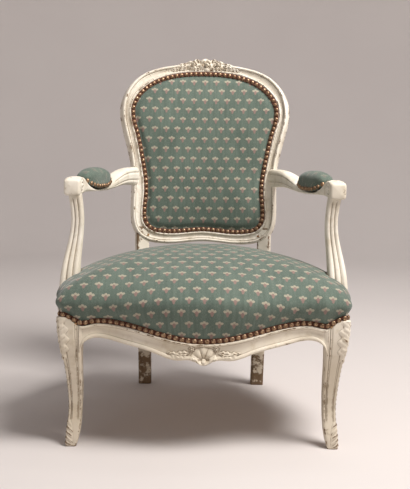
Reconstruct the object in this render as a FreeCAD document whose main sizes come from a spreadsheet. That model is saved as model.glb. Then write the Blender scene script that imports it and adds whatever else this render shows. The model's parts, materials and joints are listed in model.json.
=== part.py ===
"""A carved and painted fauteuil in the Louis XV manner, as a parametric document.

Beech frame with cabriole front legs, a serpentine seat, a violin-shaped back bent round
the sitter, open arms with padded elbows, and nailed upholstery over webbing and hessian.
Millimetres. X runs to the right as seen from the front, Y to the back, Z up. The origin
is on the floor, under the middle of the chair. Left and right are the viewer's.
"""
import FreeCAD
import Part
import math
import os
import Sketcher
from FreeCAD import Rotation, Vector

os.makedirs("parts", exist_ok=True)
doc = FreeCAD.newDocument("Fauteuil")

# Driving sizes: alias, value, what it is
SIZES = [
    ("fit_gap", 0.3, "clearance between cloth or stuffing and what it lies against"),
    # Seat frame, seen from above
    ("seat_rail_top", 300, "height of the top of the seat rails"),
    ("seat_rail_thickness", 36, "front and side rails, across"),
    ("seat_front_bow", 305, "front face of the front rail at its middle, ahead of the origin"),
    ("seat_front_flat_half_width", 75, "half width of the bowed middle"),
    ("seat_front_flat_bow", 302, "front face there"),
    ("seat_front_turn_half_width", 150, "where the bow turns back"),
    ("seat_front_turn_bow", 286, "front face there"),
    ("seat_front_hollow_half_width", 205, "where the front is hollow"),
    ("seat_front_hollow_bow", 275, "front face there"),
    ("seat_side_bulge_reach", 317, "outer face of the side rail under the arm support"),
    ("seat_side_bulge_setback", -158, "how far back that is"),
    ("seat_side_middle_reach", 292, "outer face of the side rail at its middle"),
    ("seat_side_middle_setback", -20, "how far back that is"),
    ("seat_side_rear_reach", 234, "outer face of the side rail near the rear"),
    ("seat_side_rear_setback", 90, "how far back that is"),
    ("seat_side_end_reach", 175, "outer face of the side rail at the stile"),
    ("seat_side_end_setback", 167, "how far back that is"),
    ("seat_corner_radius", 14, "rounding of the front corners, in plan"),
    # Front and side rails, seen from the front and the side
    ("apron_middle_drop", 191, "lower edge of the front rail at the cartouche"),
    ("apron_middle_half_width", 24, "half width of the cartouche"),
    ("apron_plain_drop", 200, "lower edge beside the cartouche"),
    ("apron_plain_half_width", 52, "where the plain stretch ends"),
    ("apron_step_drop", 213, "lower edge after the scallop"),
    ("apron_step_half_width", 100, "where the scallop ends"),
    ("apron_side_drop", 230.5, "lower edge towards the leg"),
    ("apron_side_half_width", 175, "where that is"),
    ("apron_end_drop", 238, "highest point of the lower edge"),
    ("apron_end_half_width", 214, "where that is"),
    ("apron_leg_drop", 230, "lower edge at the leg"),
    ("side_rail_drop", 236, "lower edge of the side rail"),
    ("nail_line_middle", 234, "height of the nail line at the middle of the front"),
    ("nail_line_side", 267.5, "height of the nail line where the front turns hollow"),
    ("nail_line_side_half_width", 215, "where that is"),
    ("nail_line_dip", 262, "height of the nail line at the inner side of the leg"),
    ("nail_line_corner", 280, "height of the nail line at the corner and along the sides"),
    ("nail_line_rear", 276, "height of the nail line at the rear"),
    ("rebate_depth", 6, "recess cut in the wood for cloth and gimp"),
    ("rail_lap", 14, "how far a rail is shaped past the face it is fitted to"),
    # Front legs: side of the section and its place at each height
    ("leg_block_side", 50, "square block that takes the rails"),
    ("leg_block_reach", 275, "middle of the block from the middle of the chair"),
    ("leg_block_bow", 253, "middle of the block ahead of the origin"),
    ("leg_toe_side", 22.5, "side of the foot at the floor"),
    ("leg_toe_reach", 276.5, "middle of the foot from the middle of the chair"),
    ("leg_toe_bow", 247, "middle of the foot ahead of the origin"),
    ("leg_foot_height", 24, "top of the carved foot"),
    ("leg_foot_side", 27, "side there"),
    ("leg_foot_reach", 272.5, "middle there"),
    ("leg_foot_bow", 245, "middle there, ahead"),
    ("leg_ankle_height", 78, "thinnest part of the leg"),
    ("leg_ankle_side", 27.3, "side there"),
    ("leg_ankle_reach", 268, "middle there"),
    ("leg_ankle_bow", 237, "middle there, ahead"),
    ("leg_shin_height", 132, "shin"),
    ("leg_shin_side", 31, "side there"),
    ("leg_shin_reach", 268, "middle there"),
    ("leg_shin_bow", 241.5, "middle there, ahead"),
    ("leg_calf_height", 182, "calf"),
    ("leg_calf_side", 36.5, "side there"),
    ("leg_calf_reach", 270.5, "middle there"),
    ("leg_calf_bow", 250, "middle there, ahead"),
    ("leg_knee_height", 226, "knee"),
    ("leg_knee_side", 45, "side there"),
    ("leg_knee_reach", 273.5, "middle there"),
    ("leg_knee_bow", 254, "middle there, ahead"),
    ("leg_corner_share", 0.2, "corner radius of the leg over its side"),
    # Rear legs below the bent back
    ("rear_leg_depth", 30, "front to back, also the thickness of the back frame"),
    ("rear_foot_width", 33.5, "across, at the floor"),
    ("rear_foot_reach", 167, "outer side at the floor"),
    ("rear_foot_setback", 200, "front face at the floor"),
    ("rear_shin_height", 110, "a station on the rear leg"),
    ("rear_shin_reach", 168, "outer side there"),
    ("rear_shin_setback", 187, "front face there"),
    ("rear_thigh_height", 215, "a station on the rear leg"),
    ("rear_thigh_reach", 169.5, "outer side there"),
    ("rear_thigh_setback", 175, "front face there"),
    ("rear_hip_height", 290, "a station on the rear leg, at the seat rails"),
    ("rear_hip_reach", 171, "outer side there"),
    ("rear_hip_setback", 168, "front face there"),
    ("rear_leg_width", 33.5, "across, from the shin up"),
    ("rear_rail_thickness", 24, "front to back"),
    ("rear_rail_depth", 60, "top to bottom"),
    # Bent back: lengths along the bend (reach) and up the slope (rise)
    ("back_bend_radius", 580, "bend of the back round the sitter"),
    ("back_rake", 10, "lean of the back in degrees"),
    ("back_base_setback", 190, "front face of the back at its foot, behind the origin"),
    ("back_crest_rise", 576, "top of the carved crest"),
    ("back_crest_side_reach", 71, "edge beside the carving"),
    ("back_crest_side_rise", 562, "edge beside the carving"),
    ("back_joint_reach", 133, "joints of the stiles with the crest rail and the lower rail"),
    ("back_joint_rise", 542, "outer edge at the crest joint"),
    ("back_turn_reach", 190, "outer edge at the turn of the shoulder"),
    ("back_turn_rise", 505, "outer edge at the turn of the shoulder"),
    ("back_shoulder_reach", 219, "widest point"),
    ("back_shoulder_rise", 432, "widest point"),
    ("back_flank_reach", 209, "outer edge below the shoulder"),
    ("back_flank_rise", 365, "outer edge below the shoulder"),
    ("back_waist_reach", 191, "waist"),
    ("back_waist_rise", 290, "waist"),
    ("back_hip_reach", 187, "outer edge under the arm"),
    ("back_hip_rise", 185, "outer edge under the arm"),
    ("back_base_reach", 173, "outer edge at the foot of the back"),
    ("back_base_rise", 60, "foot of the back, where the leg goes on"),
    ("back_base_width", 33, "stile at the foot of the back"),
    ("lower_rail_end_rise", 79, "underside of the lower rail at the stile"),
    ("lower_rail_side_rise", 81, "underside of the lower rail"),
    ("lower_rail_side_reach", 66, "where that is"),
    ("lower_rail_middle_rise", 89, "underside of the lower rail at its middle"),
    # Nail line round the back panel
    ("panel_top_rise", 532.5, "nail line at the top"),
    ("panel_arch_reach", 85, "nail line on the arch"),
    ("panel_arch_rise", 523.5, "nail line on the arch"),
    ("panel_turn_reach", 155.5, "nail line at the turn"),
    ("panel_turn_rise", 488.5, "nail line at the turn"),
    ("panel_shoulder_reach", 191.5, "nail line at its widest"),
    ("panel_shoulder_rise", 428, "nail line at its widest"),
    ("panel_flank_reach", 179.5, "nail line below the shoulder"),
    ("panel_flank_rise", 371, "nail line below the shoulder"),
    ("panel_waist_reach", 164.5, "nail line at the waist"),
    ("panel_waist_rise", 305, "nail line at the waist"),
    ("panel_hip_reach", 153, "nail line under the arm"),
    ("panel_hip_rise", 205, "nail line under the arm"),
    ("panel_heel_reach", 148, "nail line at the lower corner"),
    ("panel_heel_rise", 128, "nail line at the lower corner"),
    ("panel_low_reach", 90, "nail line on the lower rail"),
    ("panel_low_rise", 112, "nail line on the lower rail"),
    ("panel_bottom_rise", 119, "nail line at the middle of the lower rail"),
    ("back_rebate_margin", 12, "width of the rebate inside the nail line"),
    ("back_rebate_depth", 7, "depth of that rebate"),
    ("back_pad_crown", 27, "swell of the back pad ahead of its frame"),
    # Arms, in side view: stations from the stile forward
    ("arm_root_reach", 181, "middle of the arm inside the stile"),
    ("arm_root_setback", 213, "end of the arm, inside the stile"),
    ("arm_root_height", 553, "middle of the arm at the stile"),
    ("arm_root_depth", 48, "top to bottom at the stile"),
    ("arm_root_width", 26, "across at the stile"),
    ("arm_neck_reach", 212, "behind the pad"),
    ("arm_neck_setback", 130, "behind the pad"),
    ("arm_neck_height", 552, "behind the pad"),
    ("arm_neck_depth", 38, "behind the pad"),
    ("arm_neck_width", 34, "behind the pad"),
    ("arm_elbow_reach", 240, "under the pad, rear"),
    ("arm_elbow_setback", 60, "under the pad, rear"),
    ("arm_elbow_height", 535.5, "under the pad, rear"),
    ("arm_fore_reach", 279, "under the pad, front"),
    ("arm_fore_setback", -80, "under the pad, front"),
    ("arm_fore_height", 536, "under the pad, front"),
    ("arm_seat_depth", 20, "top to bottom under the pad"),
    ("arm_seat_width", 38, "across under the pad"),
    ("arm_wrist_reach", 284, "ahead of the pad"),
    ("arm_wrist_setback", -96, "ahead of the pad"),
    ("arm_wrist_height", 541, "ahead of the pad"),
    ("arm_wrist_depth", 32, "ahead of the pad"),
    ("arm_wrist_width", 38, "ahead of the pad"),
    ("arm_scroll_reach", 290, "front of the scroll"),
    ("arm_scroll_setback", -147, "front of the scroll"),
    ("arm_scroll_height", 538, "front of the scroll"),
    ("arm_scroll_depth", 36, "front of the scroll"),
    ("arm_scroll_width", 36, "front of the scroll"),
    # Arm supports
    ("support_foot_reach", 294, "middle of the support on the rail"),
    ("support_foot_setback", -150, "middle of the support on the rail"),
    ("support_foot_width", 45, "across, on the rail"),
    ("support_foot_depth", 48, "front to back, on the rail"),
    ("support_shin_height", 360, "a station on the support"),
    ("support_shin_reach", 292.5, "middle there"),
    ("support_shin_setback", -138, "middle there"),
    ("support_shin_side", 40, "side there"),
    ("support_waist_height", 412, "a station on the support"),
    ("support_waist_reach", 286, "middle there"),
    ("support_waist_setback", -124, "middle there"),
    ("support_waist_side", 32, "side there"),
    ("support_neck_height", 465, "a station on the support"),
    ("support_neck_reach", 280, "middle there"),
    ("support_neck_setback", -122, "middle there"),
    ("support_neck_side", 27, "side there"),
    ("support_head_reach", 286, "middle of its top"),
    ("support_head_setback", -126, "middle of its top"),
    ("support_head_side", 29, "side of its top"),
    ("support_head_height", 534, "height reached inside the arm"),
    # Joinery
    ("tenon_thickness", 11, "all tenons of the seat frame"),
    ("tenon_height", 34, "all tenons of the seat frame"),
    ("tenon_length", 26, "all tenons of the seat frame"),
    ("tenon_root", 6, "how far a tenon into the front leg starts back inside its rail"),
    ("rear_tenon_length", 15, "rear rail into the stile, short of the side rail's tenon"),
    ("support_clearance", 2, "space left round the arm support in the upholstery"),
    ("tenon_drop", 8, "top of the tenon below the top of the rail"),
    ("back_tenon_thickness", 10, "tenons of the bent back"),
    ("back_tenon_height", 18, "tenons of the bent back"),
    ("back_tenon_length", 22, "tenons of the bent back"),
    ("crest_tenon_rise", 499, "underside of the crest rail's tenon"),
    ("lower_tenon_rise", 92, "underside of the lower rail's tenon"),
    ("arm_tenon_length", 22, "arm into the stile"),
    ("support_tenon_length", 20, "support into the rail"),
    ("peg_radius", 3.5, "oak pegs through the joints"),
    ("corner_block_leg", 62, "corner blocks along the rails"),
    ("corner_block_height", 42, "corner blocks, top to bottom"),
    ("corner_block_drop", 10, "corner blocks below the top of the rail"),
    # Upholstery
    ("webbing_width", 50, "jute webbing"),
    ("webbing_thickness", 1.5, "jute webbing"),
    ("webbing_pitch", 64, "spacing of the webbing"),
    ("webbing_inset", 12, "ends of the webbing inside the edge of the frame"),
    ("hessian_thickness", 1, "hessian sheet"),
    ("hessian_inset", 10, "edge of the hessian inside the edge of the frame"),
    ("cover_thickness", 1.5, "cover cloth with its wadding"),
    ("seat_bulge", 13, "swell of the seat beyond the front rail"),
    ("seat_side_bulge", 4, "swell of the seat beyond the side rails"),
    ("seat_bulge_height", 313, "height of the widest part of the seat"),
    ("seat_crown_height", 404, "top of the seat"),
    ("seat_crown_bow", 45, "top of the seat, ahead of the origin"),
    ("gimp_width", 11, "woven gimp under the nails"),
    ("gimp_thickness", 1, "woven gimp under the nails"),
    ("nail_radius", 5.25, "head of a decorative nail"),
    ("nail_height", 3.6, "dome of a decorative nail"),
    ("nail_pitch", 12.8, "spacing of the nails"),
    ("pad_length", 140, "padded elbow"),
    ("pad_width", 45, "padded elbow"),
    ("pad_rise", 34, "top of the elbow pad above the arm"),
    ("pad_front_setback", -75, "front of the elbow pad"),
    ("pad_edge_rise", 3, "edge of the elbow's cover above the arm, at its ends"),
    ("pad_edge_drop", 13, "edge of the elbow's cover below the top of the arm, at its sides"),
]

sheet = doc.addObject("Spreadsheet::Sheet", "Sizes")
for row, (alias, value, note) in enumerate(SIZES, start=1):
    sheet.set(f"A{row}", note)
    sheet.set(f"B{row}", str(value))
    sheet.setAlias(f"B{row}", alias)
doc.recompute()


def size(alias):
    """The value of one cell of the sheet."""
    return float(sheet.get(alias))


def bind(target, **expressions):
    """Bind properties of an object to the sheet, a double underscore standing for a dot."""
    for path, expression in expressions.items():
        target.setExpression(path.replace("__", "."), expression)
    return target


def cell(text):
    """An expression in which every alias of the sheet carries the sheet's name."""
    words = []
    for word in text.split():
        words.append("Sizes." + word if word in ALIASES else word)
    return " ".join(words)


ALIASES = {alias for alias, value, note in SIZES}


# Helpers that make document objects

def box(name, length, width, height, x, y, z):
    """A box from its low corner; each argument is an expression in the sheet's aliases."""
    made = doc.addObject("Part::Box", name)
    return bind(
        made,
        Length=cell(length),
        Width=cell(width),
        Height=cell(height),
        Placement__Base__x=cell(x),
        Placement__Base__y=cell(y),
        Placement__Base__z=cell(z),
    )


def boolean(kind, name, base, tool):
    """Cut, Fuse or Common of two objects."""
    made = doc.addObject("Part::" + kind, name)
    made.Base = base
    made.Tool = tool
    return made


def gathered(name, members, fused=True):
    """Several objects as one: fused, or side by side as separate solids."""
    made = doc.addObject("Part::MultiFuse" if fused else "Part::Compound", name)
    if fused:
        made.Shapes = members
    else:
        made.Links = members
    return made


def mirrored(name, source):
    """The same piece on the other side of the chair."""
    made = doc.addObject("Part::Mirroring", name)
    made.Source = source
    made.Normal = Vector(1, 0, 0)
    return made


def fixed(name, shape):
    """A piece whose shape is worked out here from the sheet."""
    made = doc.addObject("Part::Feature", name)
    made.Shape = shape
    return made


# Helpers that work on curves and points

def through(keys, count):
    """A smooth open curve through key points, as count points evenly spaced along it."""
    curve = Part.BSplineCurve()
    curve.interpolate([Vector(*key) for key in keys])
    return curve.discretize(Number=count)


def from_middle(keys, count):
    """The right half of a smooth curve that is the same on both sides of its first key."""
    left = [(-key[0],) + tuple(key[1:]) for key in reversed(keys[1:])]
    points = through(left + list(keys), 2 * count - 1)[count - 1:]
    return [Vector(0, points[0].y, points[0].z)] + points[1:]


def arcs(points, closed=True):
    """A wire of arcs, one through each three successive points; straight threes make lines."""
    ring = list(points)
    if closed:
        ring.append(points[0])
    edges = []
    for first in range(0, len(ring) - 2, 2):
        start, middle, end = ring[first:first + 3]
        bend = (middle - start).cross(end - middle).Length
        if bend < 1e-3 * (end - start).Length:
            edges.append(Part.LineSegment(start, end).toShape())
        else:
            edges.append(Part.Arc(start, middle, end).toShape())
    return Part.Wire(edges)


def symmetric(half):
    """A closed outline from its right half, whose first and last points are on the middle."""
    left = [Vector(-point.x, point.y, point.z) for point in reversed(half[1:-1])]
    return list(half) + left


def outset(points, distance):
    """A closed flat outline moved outwards, by one distance or by one for each point."""
    count = len(points)
    distances = distance if isinstance(distance, list) else [distance] * count
    area = 0
    for index in range(count):
        here, there = points[index], points[(index + 1) % count]
        area += here.x * there.y - there.x * here.y
    turn = 1 if area > 0 else -1
    moved = []
    for index, point in enumerate(points):
        before, after = points[index - 1], points[(index + 1) % count]
        along = (point - before).normalize() + (after - point).normalize()
        along.normalize()
        moved.append(point + Vector(along.y, -along.x, 0) * (turn * distances[index]))
    return moved


def closed_loft(start, rings, end):
    """A solid from one point, through rings of arcs, to another point."""
    sections = [Part.Vertex(start)] + [arcs(ring) for ring in rings] + [Part.Vertex(end)]
    return Part.makeLoft(sections, True, True)


def ring_solid(rings):
    """A solid band that goes round: faces ruled from each ring of arcs to the next and back."""
    wires = [arcs(ring) for ring in rings]
    faces = []
    for wire, following in zip(wires, wires[1:] + wires[:1]):
        for edge, partner in zip(wire.Edges, following.Edges):
            faces.append(Part.makeRuledSurface(edge, partner))
    shell = Part.makeShell(faces)
    shell.sewShape()
    solid = Part.makeSolid(shell)
    if solid.Volume < 0:
        solid.reverse()
    return solid


def slab(outline, low, high):
    """A flat outline raised between two heights."""
    base = [Vector(point.x, point.y, low) for point in outline]
    return Part.Face(arcs(base)).extrude(Vector(0, 0, high - low))


# Seat frame seen from above

def seat_outline():
    """Outer outline of the rails: front middle, right corner, right side, round the stile."""
    front = from_middle(
        [
            (0, -size("seat_front_bow"), 0),
            (size("seat_front_flat_half_width"), -size("seat_front_flat_bow"), 0),
            (size("seat_front_turn_half_width"), -size("seat_front_turn_bow"), 0),
            (size("seat_front_hollow_half_width"), -size("seat_front_hollow_bow"), 0),
            (leg_inner(), -leg_front(), 0),
        ],
        9,
    )
    radius = size("seat_corner_radius")
    middle = radius * (1 - math.sqrt(0.5))
    outer = leg_block_outer()
    corner = [
        Vector((leg_inner() + outer - radius) / 2, -leg_front(), 0),
        Vector(outer - radius, -leg_front(), 0),
        Vector(outer - middle, -leg_front() + middle, 0),
        Vector(outer, -leg_front() + radius, 0),
        Vector(outer, (-leg_front() + radius - leg_rear()) / 2, 0),
    ]
    side = through(
        [
            (outer, -leg_rear(), 0),
            (size("seat_side_bulge_reach"), size("seat_side_bulge_setback"), 0),
            (size("seat_side_middle_reach"), size("seat_side_middle_setback"), 0),
            (size("seat_side_rear_reach"), size("seat_side_rear_setback"), 0),
            (size("seat_side_end_reach"), size("seat_side_end_setback"), 0),
        ],
        7,
    )
    stile_inner = size("rear_hip_reach") - size("rear_leg_width")
    rear_face = rear_rail_front() + size("rear_rail_thickness")
    end = side[-1]
    notch = [
        Vector((end.x + stile_inner) / 2, end.y, 0),
        Vector(stile_inner, end.y, 0),
        Vector(stile_inner, (end.y + rear_face) / 2, 0),
        Vector(stile_inner, rear_face, 0),
        Vector(stile_inner / 2, rear_face, 0),
        Vector(0, rear_face, 0),
    ]
    return symmetric(front + corner + side + notch)


def leg_inner():
    """Inner side of the front leg's block."""
    return size("leg_block_reach") - size("leg_block_side") / 2


def leg_block_outer():
    """Outer side of the front leg's block."""
    return size("leg_block_reach") + size("leg_block_side") / 2


def leg_front():
    """Front face of the front leg's block, ahead of the origin."""
    return size("leg_block_bow") + size("leg_block_side") / 2


def leg_rear():
    """Rear face of the front leg's block, ahead of the origin."""
    return size("leg_block_bow") - size("leg_block_side") / 2


def rear_rail_front():
    """Front face of the rear rail, centred in the stile."""
    slack = size("rear_leg_depth") - size("rear_rail_thickness")
    return size("rear_hip_setback") + slack / 2 + 4


def nail_height_at(point):
    """Height of the nail line beside a point of the seat outline."""
    if point.y > -leg_rear():
        share = (point.y + leg_rear()) / (size("seat_side_end_setback") + leg_rear())
        share = min(share, 1)
        return size("nail_line_corner") + share * (size("nail_line_rear") - size("nail_line_corner"))
    stops = [
        (0, size("nail_line_middle")),
        (size("nail_line_side_half_width"), size("nail_line_side")),
        (leg_inner(), size("nail_line_dip")),
        (leg_block_outer() - size("seat_corner_radius"), size("nail_line_corner")),
    ]
    reach = min(abs(point.x), stops[-1][0])
    for (start, low), (end, high) in zip(stops, stops[1:]):
        if reach <= end:
            share = (1 - math.cos(math.pi * (reach - start) / (end - start))) / 2
            return low + share * (high - low)


outline = seat_outline()
rail_top = size("seat_rail_top")
skirt_low = [Vector(p.x, p.y, nail_height_at(p)) for p in outline]


def at_height(points, height):
    """The same plan points at one height."""
    return [Vector(point.x, point.y, height) for point in points]


def seat_ring(distance, height=None):
    """The seat outline moved outwards, on the nail line or at one height."""
    moved = outset(outline, distance)
    if height is None:
        return [Vector(p.x, p.y, low.z) for p, low in zip(moved, skirt_low)]
    return at_height(moved, height)


def rebate_space():
    """What is cut from the rails and legs above the nail line, for cloth and gimp."""
    inner = -size("rebate_depth")
    outer = 9
    rings = [
        seat_ring(inner),
        seat_ring(outer),
        seat_ring(outer, rail_top + 2),
        seat_ring(inner, rail_top + 2),
    ]
    return ring_solid(rings)


rebate = fixed("seat_rebate", rebate_space())


# Front legs

def body_plane(body, role):
    """One of a body's own origin planes."""
    return next(plane for plane in body.Origin.OriginFeatures if plane.Role == role)


def rounded_square(body, name, side, corner, place):
    """A fully constrained rounded square on the body's floor plane, sized by expressions."""
    sketch = body.newObject("Sketcher::SketchObject", name)
    sketch.AttachmentSupport = [(body_plane(body, "XY_Plane"), "")]
    sketch.MapMode = "FlatFace"
    half, radius = 20, 5
    straight = half - radius
    lines = [
        ((-straight, -half), (straight, -half)),
        ((half, -straight), (half, straight)),
        ((straight, half), (-straight, half)),
        ((-half, straight), (-half, -straight)),
    ]
    centres = [(straight, -straight), (straight, straight), (-straight, straight), (-straight, -straight)]
    for turn, (line, centre) in enumerate(zip(lines, centres)):
        sketch.addGeometry(Part.LineSegment(Vector(*line[0], 0), Vector(*line[1], 0)))
        circle = Part.Circle(Vector(*centre, 0), Vector(0, 0, 1), radius)
        start = math.radians(90 * turn - 90)
        sketch.addGeometry(Part.ArcOfCircle(circle, start, start + math.pi / 2))
    rules = []
    for turn in range(4):
        line, arc = 2 * turn, 2 * turn + 1
        rules.append(Sketcher.Constraint("Vertical" if turn % 2 else "Horizontal", line))
        rules.append(Sketcher.Constraint("Tangent", line, 2, arc, 1))
        rules.append(Sketcher.Constraint("Tangent", arc, 2, (line + 2) % 8, 1))
        if turn:
            rules.append(Sketcher.Constraint("Equal", 1, arc))
    rules.append(Sketcher.Constraint("Symmetric", 0, 1, 4, 1, -1, 1))
    rules.append(Sketcher.Constraint("Equal", 0, 2))
    sketch.addConstraint(rules)
    width = sketch.addConstraint(Sketcher.Constraint("DistanceX", 7, 1, 3, 1, 2 * half))
    bend = sketch.addConstraint(Sketcher.Constraint("Radius", 1, radius))
    sketch.setExpression(f"Constraints[{width}]", side)
    sketch.setExpression(f"Constraints[{bend}]", corner)
    for axis, expression in zip("xyz", place):
        sketch.setExpression(f"AttachmentOffset.Base.{axis}", expression)
    return sketch


def front_leg():
    """The right cabriole leg: a loft from the foot to the block that takes the rails."""
    body = doc.addObject("PartDesign::Body", "front_leg_blank")
    stations = [
        ("toe", "0"),
        ("foot", "Sizes.leg_foot_height"),
        ("ankle", "Sizes.leg_ankle_height"),
        ("shin", "Sizes.leg_shin_height"),
        ("calf", "Sizes.leg_calf_height"),
        ("knee", "Sizes.leg_knee_height"),
        ("block", "(Sizes.leg_knee_height + Sizes.seat_rail_top) / 2"),
        ("block", "Sizes.seat_rail_top"),
    ]
    sketches = []
    for number, (word, height) in enumerate(stations):
        side = f"Sizes.leg_{word}_side"
        place = (f"Sizes.leg_{word}_reach", f"-Sizes.leg_{word}_bow", height)
        corner = f"{side} * Sizes.leg_corner_share"
        sketches.append(rounded_square(body, f"leg_station_{number}", side, corner, place))
    loft = body.newObject("PartDesign::AdditiveLoft", "leg_loft")
    loft.Profile = sketches[0]
    loft.Sections = sketches[1:]
    body.Tip = loft
    return body


# Tenons of the seat frame; each is part of a rail and is cut from a leg
front_tenon = box(
    "front_tenon",
    "tenon_length + tenon_root", "tenon_thickness", "tenon_height",
    "leg_block_reach - leg_block_side / 2 - tenon_root", "- leg_block_bow - 8",
    "seat_rail_top - tenon_drop - tenon_height",
)
side_tenon = box(
    "side_tenon",
    "tenon_thickness", "tenon_length + tenon_root", "tenon_height",
    "leg_block_reach + 4", "- leg_block_bow + leg_block_side / 2 - tenon_length",
    "seat_rail_top - tenon_drop - tenon_height",
)
rear_side_tenon = box(
    "rear_side_tenon",
    "tenon_thickness", "tenon_length", "tenon_height",
    "rear_hip_reach - rear_leg_width / 2 + 1", "rear_hip_setback - 4",
    "seat_rail_top - tenon_drop - tenon_height",
)
rear_tenon = box(
    "rear_tenon",
    "2 * ( rear_hip_reach - rear_leg_width + rear_tenon_length )", "tenon_thickness", "tenon_height",
    "- ( rear_hip_reach - rear_leg_width + rear_tenon_length )", "rear_hip_setback + rear_leg_depth / 2",
    "seat_rail_top - tenon_drop - tenon_height",
)


def peg(name, x, y, z, direction, length):
    """One oak peg, from its outer end inwards."""
    made = doc.addObject("Part::Cylinder", name)
    made.Placement = FreeCAD.Placement(Vector(), Rotation(Vector(0, 0, 1), direction))
    return bind(
        made,
        Radius="Sizes.peg_radius",
        Height=cell(length),
        Placement__Base__x=cell(x),
        Placement__Base__y=cell(y),
        Placement__Base__z=cell(z),
    )


tenon_middle = "seat_rail_top - tenon_drop - tenon_height / 2"
front_pegs = [
    peg(
        "front_rail_peg",
        "leg_block_reach - leg_block_side / 2 + tenon_length / 2", "- leg_block_bow - leg_block_side / 2 + 1",
        "seat_rail_top - tenon_drop - tenon_height + 8", Vector(0, 1, 0), "leg_block_side * 0.6",
    ),
    peg(
        "side_rail_peg",
        "leg_block_reach + leg_block_side / 2 - 1", "- leg_block_bow + leg_block_side / 2 - tenon_length / 2",
        "seat_rail_top - tenon_drop - tenon_height + 8", Vector(-1, 0, 0), "leg_block_side * 0.45",
    ),
]
rear_pegs = [
    peg(
        "rear_side_rail_peg",
        "rear_hip_reach + 1", "rear_hip_setback + tenon_length / 2", tenon_middle,
        Vector(-1, 0, 0), "rear_leg_width / 2",
    ),
]

leg_blank = front_leg()
leg_tools = gathered("front_leg_tools", [front_tenon, side_tenon, rebate] + front_pegs)
leg_right = boolean("Cut", "front_leg_right", leg_blank, leg_tools)
leg_left = mirrored("front_leg_left", leg_right)


# Seat rails

def elevation(low, high, axis):
    """A wall between two curves seen from the front (axis y) or the side (axis x)."""
    lower = arcs(low, closed=False)
    upper = arcs(high, closed=False)
    ends = [
        Part.LineSegment(low[0], high[0]).toShape(),
        Part.LineSegment(low[-1], high[-1]).toShape(),
    ]
    wire = Part.Wire(Part.__sortEdges__(lower.Edges + upper.Edges + ends))
    return Part.Face(wire).extrude(axis)


def apron_curve():
    """Lower edge of the front rail from its middle to the leg, in the front view."""
    names = ("plain", "step", "side", "end")
    keys = [
        (0, 0, size("apron_middle_drop")),
        (size("apron_middle_half_width"), 0, size("apron_plain_drop")),
    ]
    for name in names:
        keys.append((size(f"apron_{name}_half_width"), 0, size(f"apron_{name}_drop")))
    keys.append((leg_inner() + size("rail_lap"), 0, size("apron_leg_drop")))
    half = from_middle(keys, 17)
    return [Vector(-p.x, 0, p.z) for p in reversed(half[1:])] + half


def band(points, thickness, low, high):
    """A curved board: an open outer curve, its thickness to the left of the run, two heights."""
    inner = []
    for index, point in enumerate(points):
        before = points[max(index - 1, 0)]
        after = points[min(index + 1, len(points) - 1)]
        along = (after - before).normalize()
        inner.append(point + Vector(-along.y, along.x, 0) * thickness)
    outer_wire = arcs(at_height(points, low), closed=False)
    inner_wire = arcs(at_height(inner, low), closed=False)
    ends = []
    for index in (0, -1):
        ends.append(Part.LineSegment(at_height(points, low)[index], at_height(inner, low)[index]).toShape())
    wire = Part.Wire(Part.__sortEdges__(outer_wire.Edges + inner_wire.Edges + ends))
    return Part.Face(wire).extrude(Vector(0, 0, high - low))


def front_rail_blank():
    """The serpentine front rail with its scalloped lower edge, before joints and rebate."""
    lap = size("rail_lap")
    half = outline[:9] + [outline[8] + Vector(lap / 2, 0, 0), outline[8] + Vector(lap, 0, 0)]
    points = [Vector(-p.x, p.y, 0) for p in reversed(half[1:])] + half
    low = apron_curve()
    high = [Vector(p.x, 0, rail_top) for p in low]
    wall = elevation(low, high, Vector(0, -400, 0))
    return band(points, size("seat_rail_thickness"), 100, rail_top).common(wall)


def side_rail_blank():
    """The right side rail, from inside the front leg's block to inside the stile."""
    lap = size("rail_lap")
    side = outline[14:21]
    run = (side[-1] - side[-2]).normalize()
    start = [side[0] + Vector(0, -lap, 0), side[0] + Vector(0, -lap / 2, 0)]
    end = [side[-1] + run * (lap / 2), side[-1] + run * lap]
    return band(start + side + end, size("seat_rail_thickness"), size("side_rail_drop"), rail_top)


def back_place(reach, rise, depth):
    """A point of the bent and raked back: along the bend, up the slope, behind its face."""
    radius = size("back_bend_radius")
    turn = reach / radius
    rake = math.radians(size("back_rake"))
    across = (radius + depth) * math.sin(turn)
    back = (radius + depth) * math.cos(turn) - radius
    return Vector(
        across,
        size("back_base_setback") + back * math.cos(rake) + rise * math.sin(rake),
        rail_top + rise * math.cos(rake) - back * math.sin(rake),
    )


def bent(reaches, rises, depths):
    """A bent sheet or board between two reaches, two rises and two depths."""
    left, right = reaches
    low, high = rises
    front, rear = depths
    middle = (left + right) / 2
    wire = Part.Wire([
        Part.Arc(*[back_place(s, low, front) for s in (left, middle, right)]).toShape(),
        Part.LineSegment(back_place(right, low, front), back_place(right, low, rear)).toShape(),
        Part.Arc(*[back_place(s, low, rear) for s in (right, middle, left)]).toShape(),
        Part.LineSegment(back_place(left, low, rear), back_place(left, low, front)).toShape(),
    ])
    return Part.Face(wire).extrude(back_place(0, high, 0) - back_place(0, low, 0))


def panel_ring(points, depth):
    """Flat outline points (reach, rise) laid on the bend at one depth."""
    return [back_place(point.x, point.y, depth) for point in points]


def flattened(points, depth):
    """An outline of the bend pressed onto a plane square to the middle of the back."""
    rake = math.radians(size("back_rake"))
    normal = Vector(0, math.cos(rake), -math.sin(rake))
    origin = back_place(0, 0, depth)
    return [p - normal * (p - origin).dot(normal) for p in panel_ring(points, depth / 2)]


def bent_prism(points):
    """Everything inside an outline of the bent back, from well ahead of it to well behind."""
    front, rear = -60, 90
    rings = [
        flattened(points, 3 * front),
        panel_ring(points, front),
        panel_ring(points, rear),
        flattened(points, 3 * rear),
    ]
    return Part.makeLoft([arcs(ring) for ring in rings], True, True)


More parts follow.
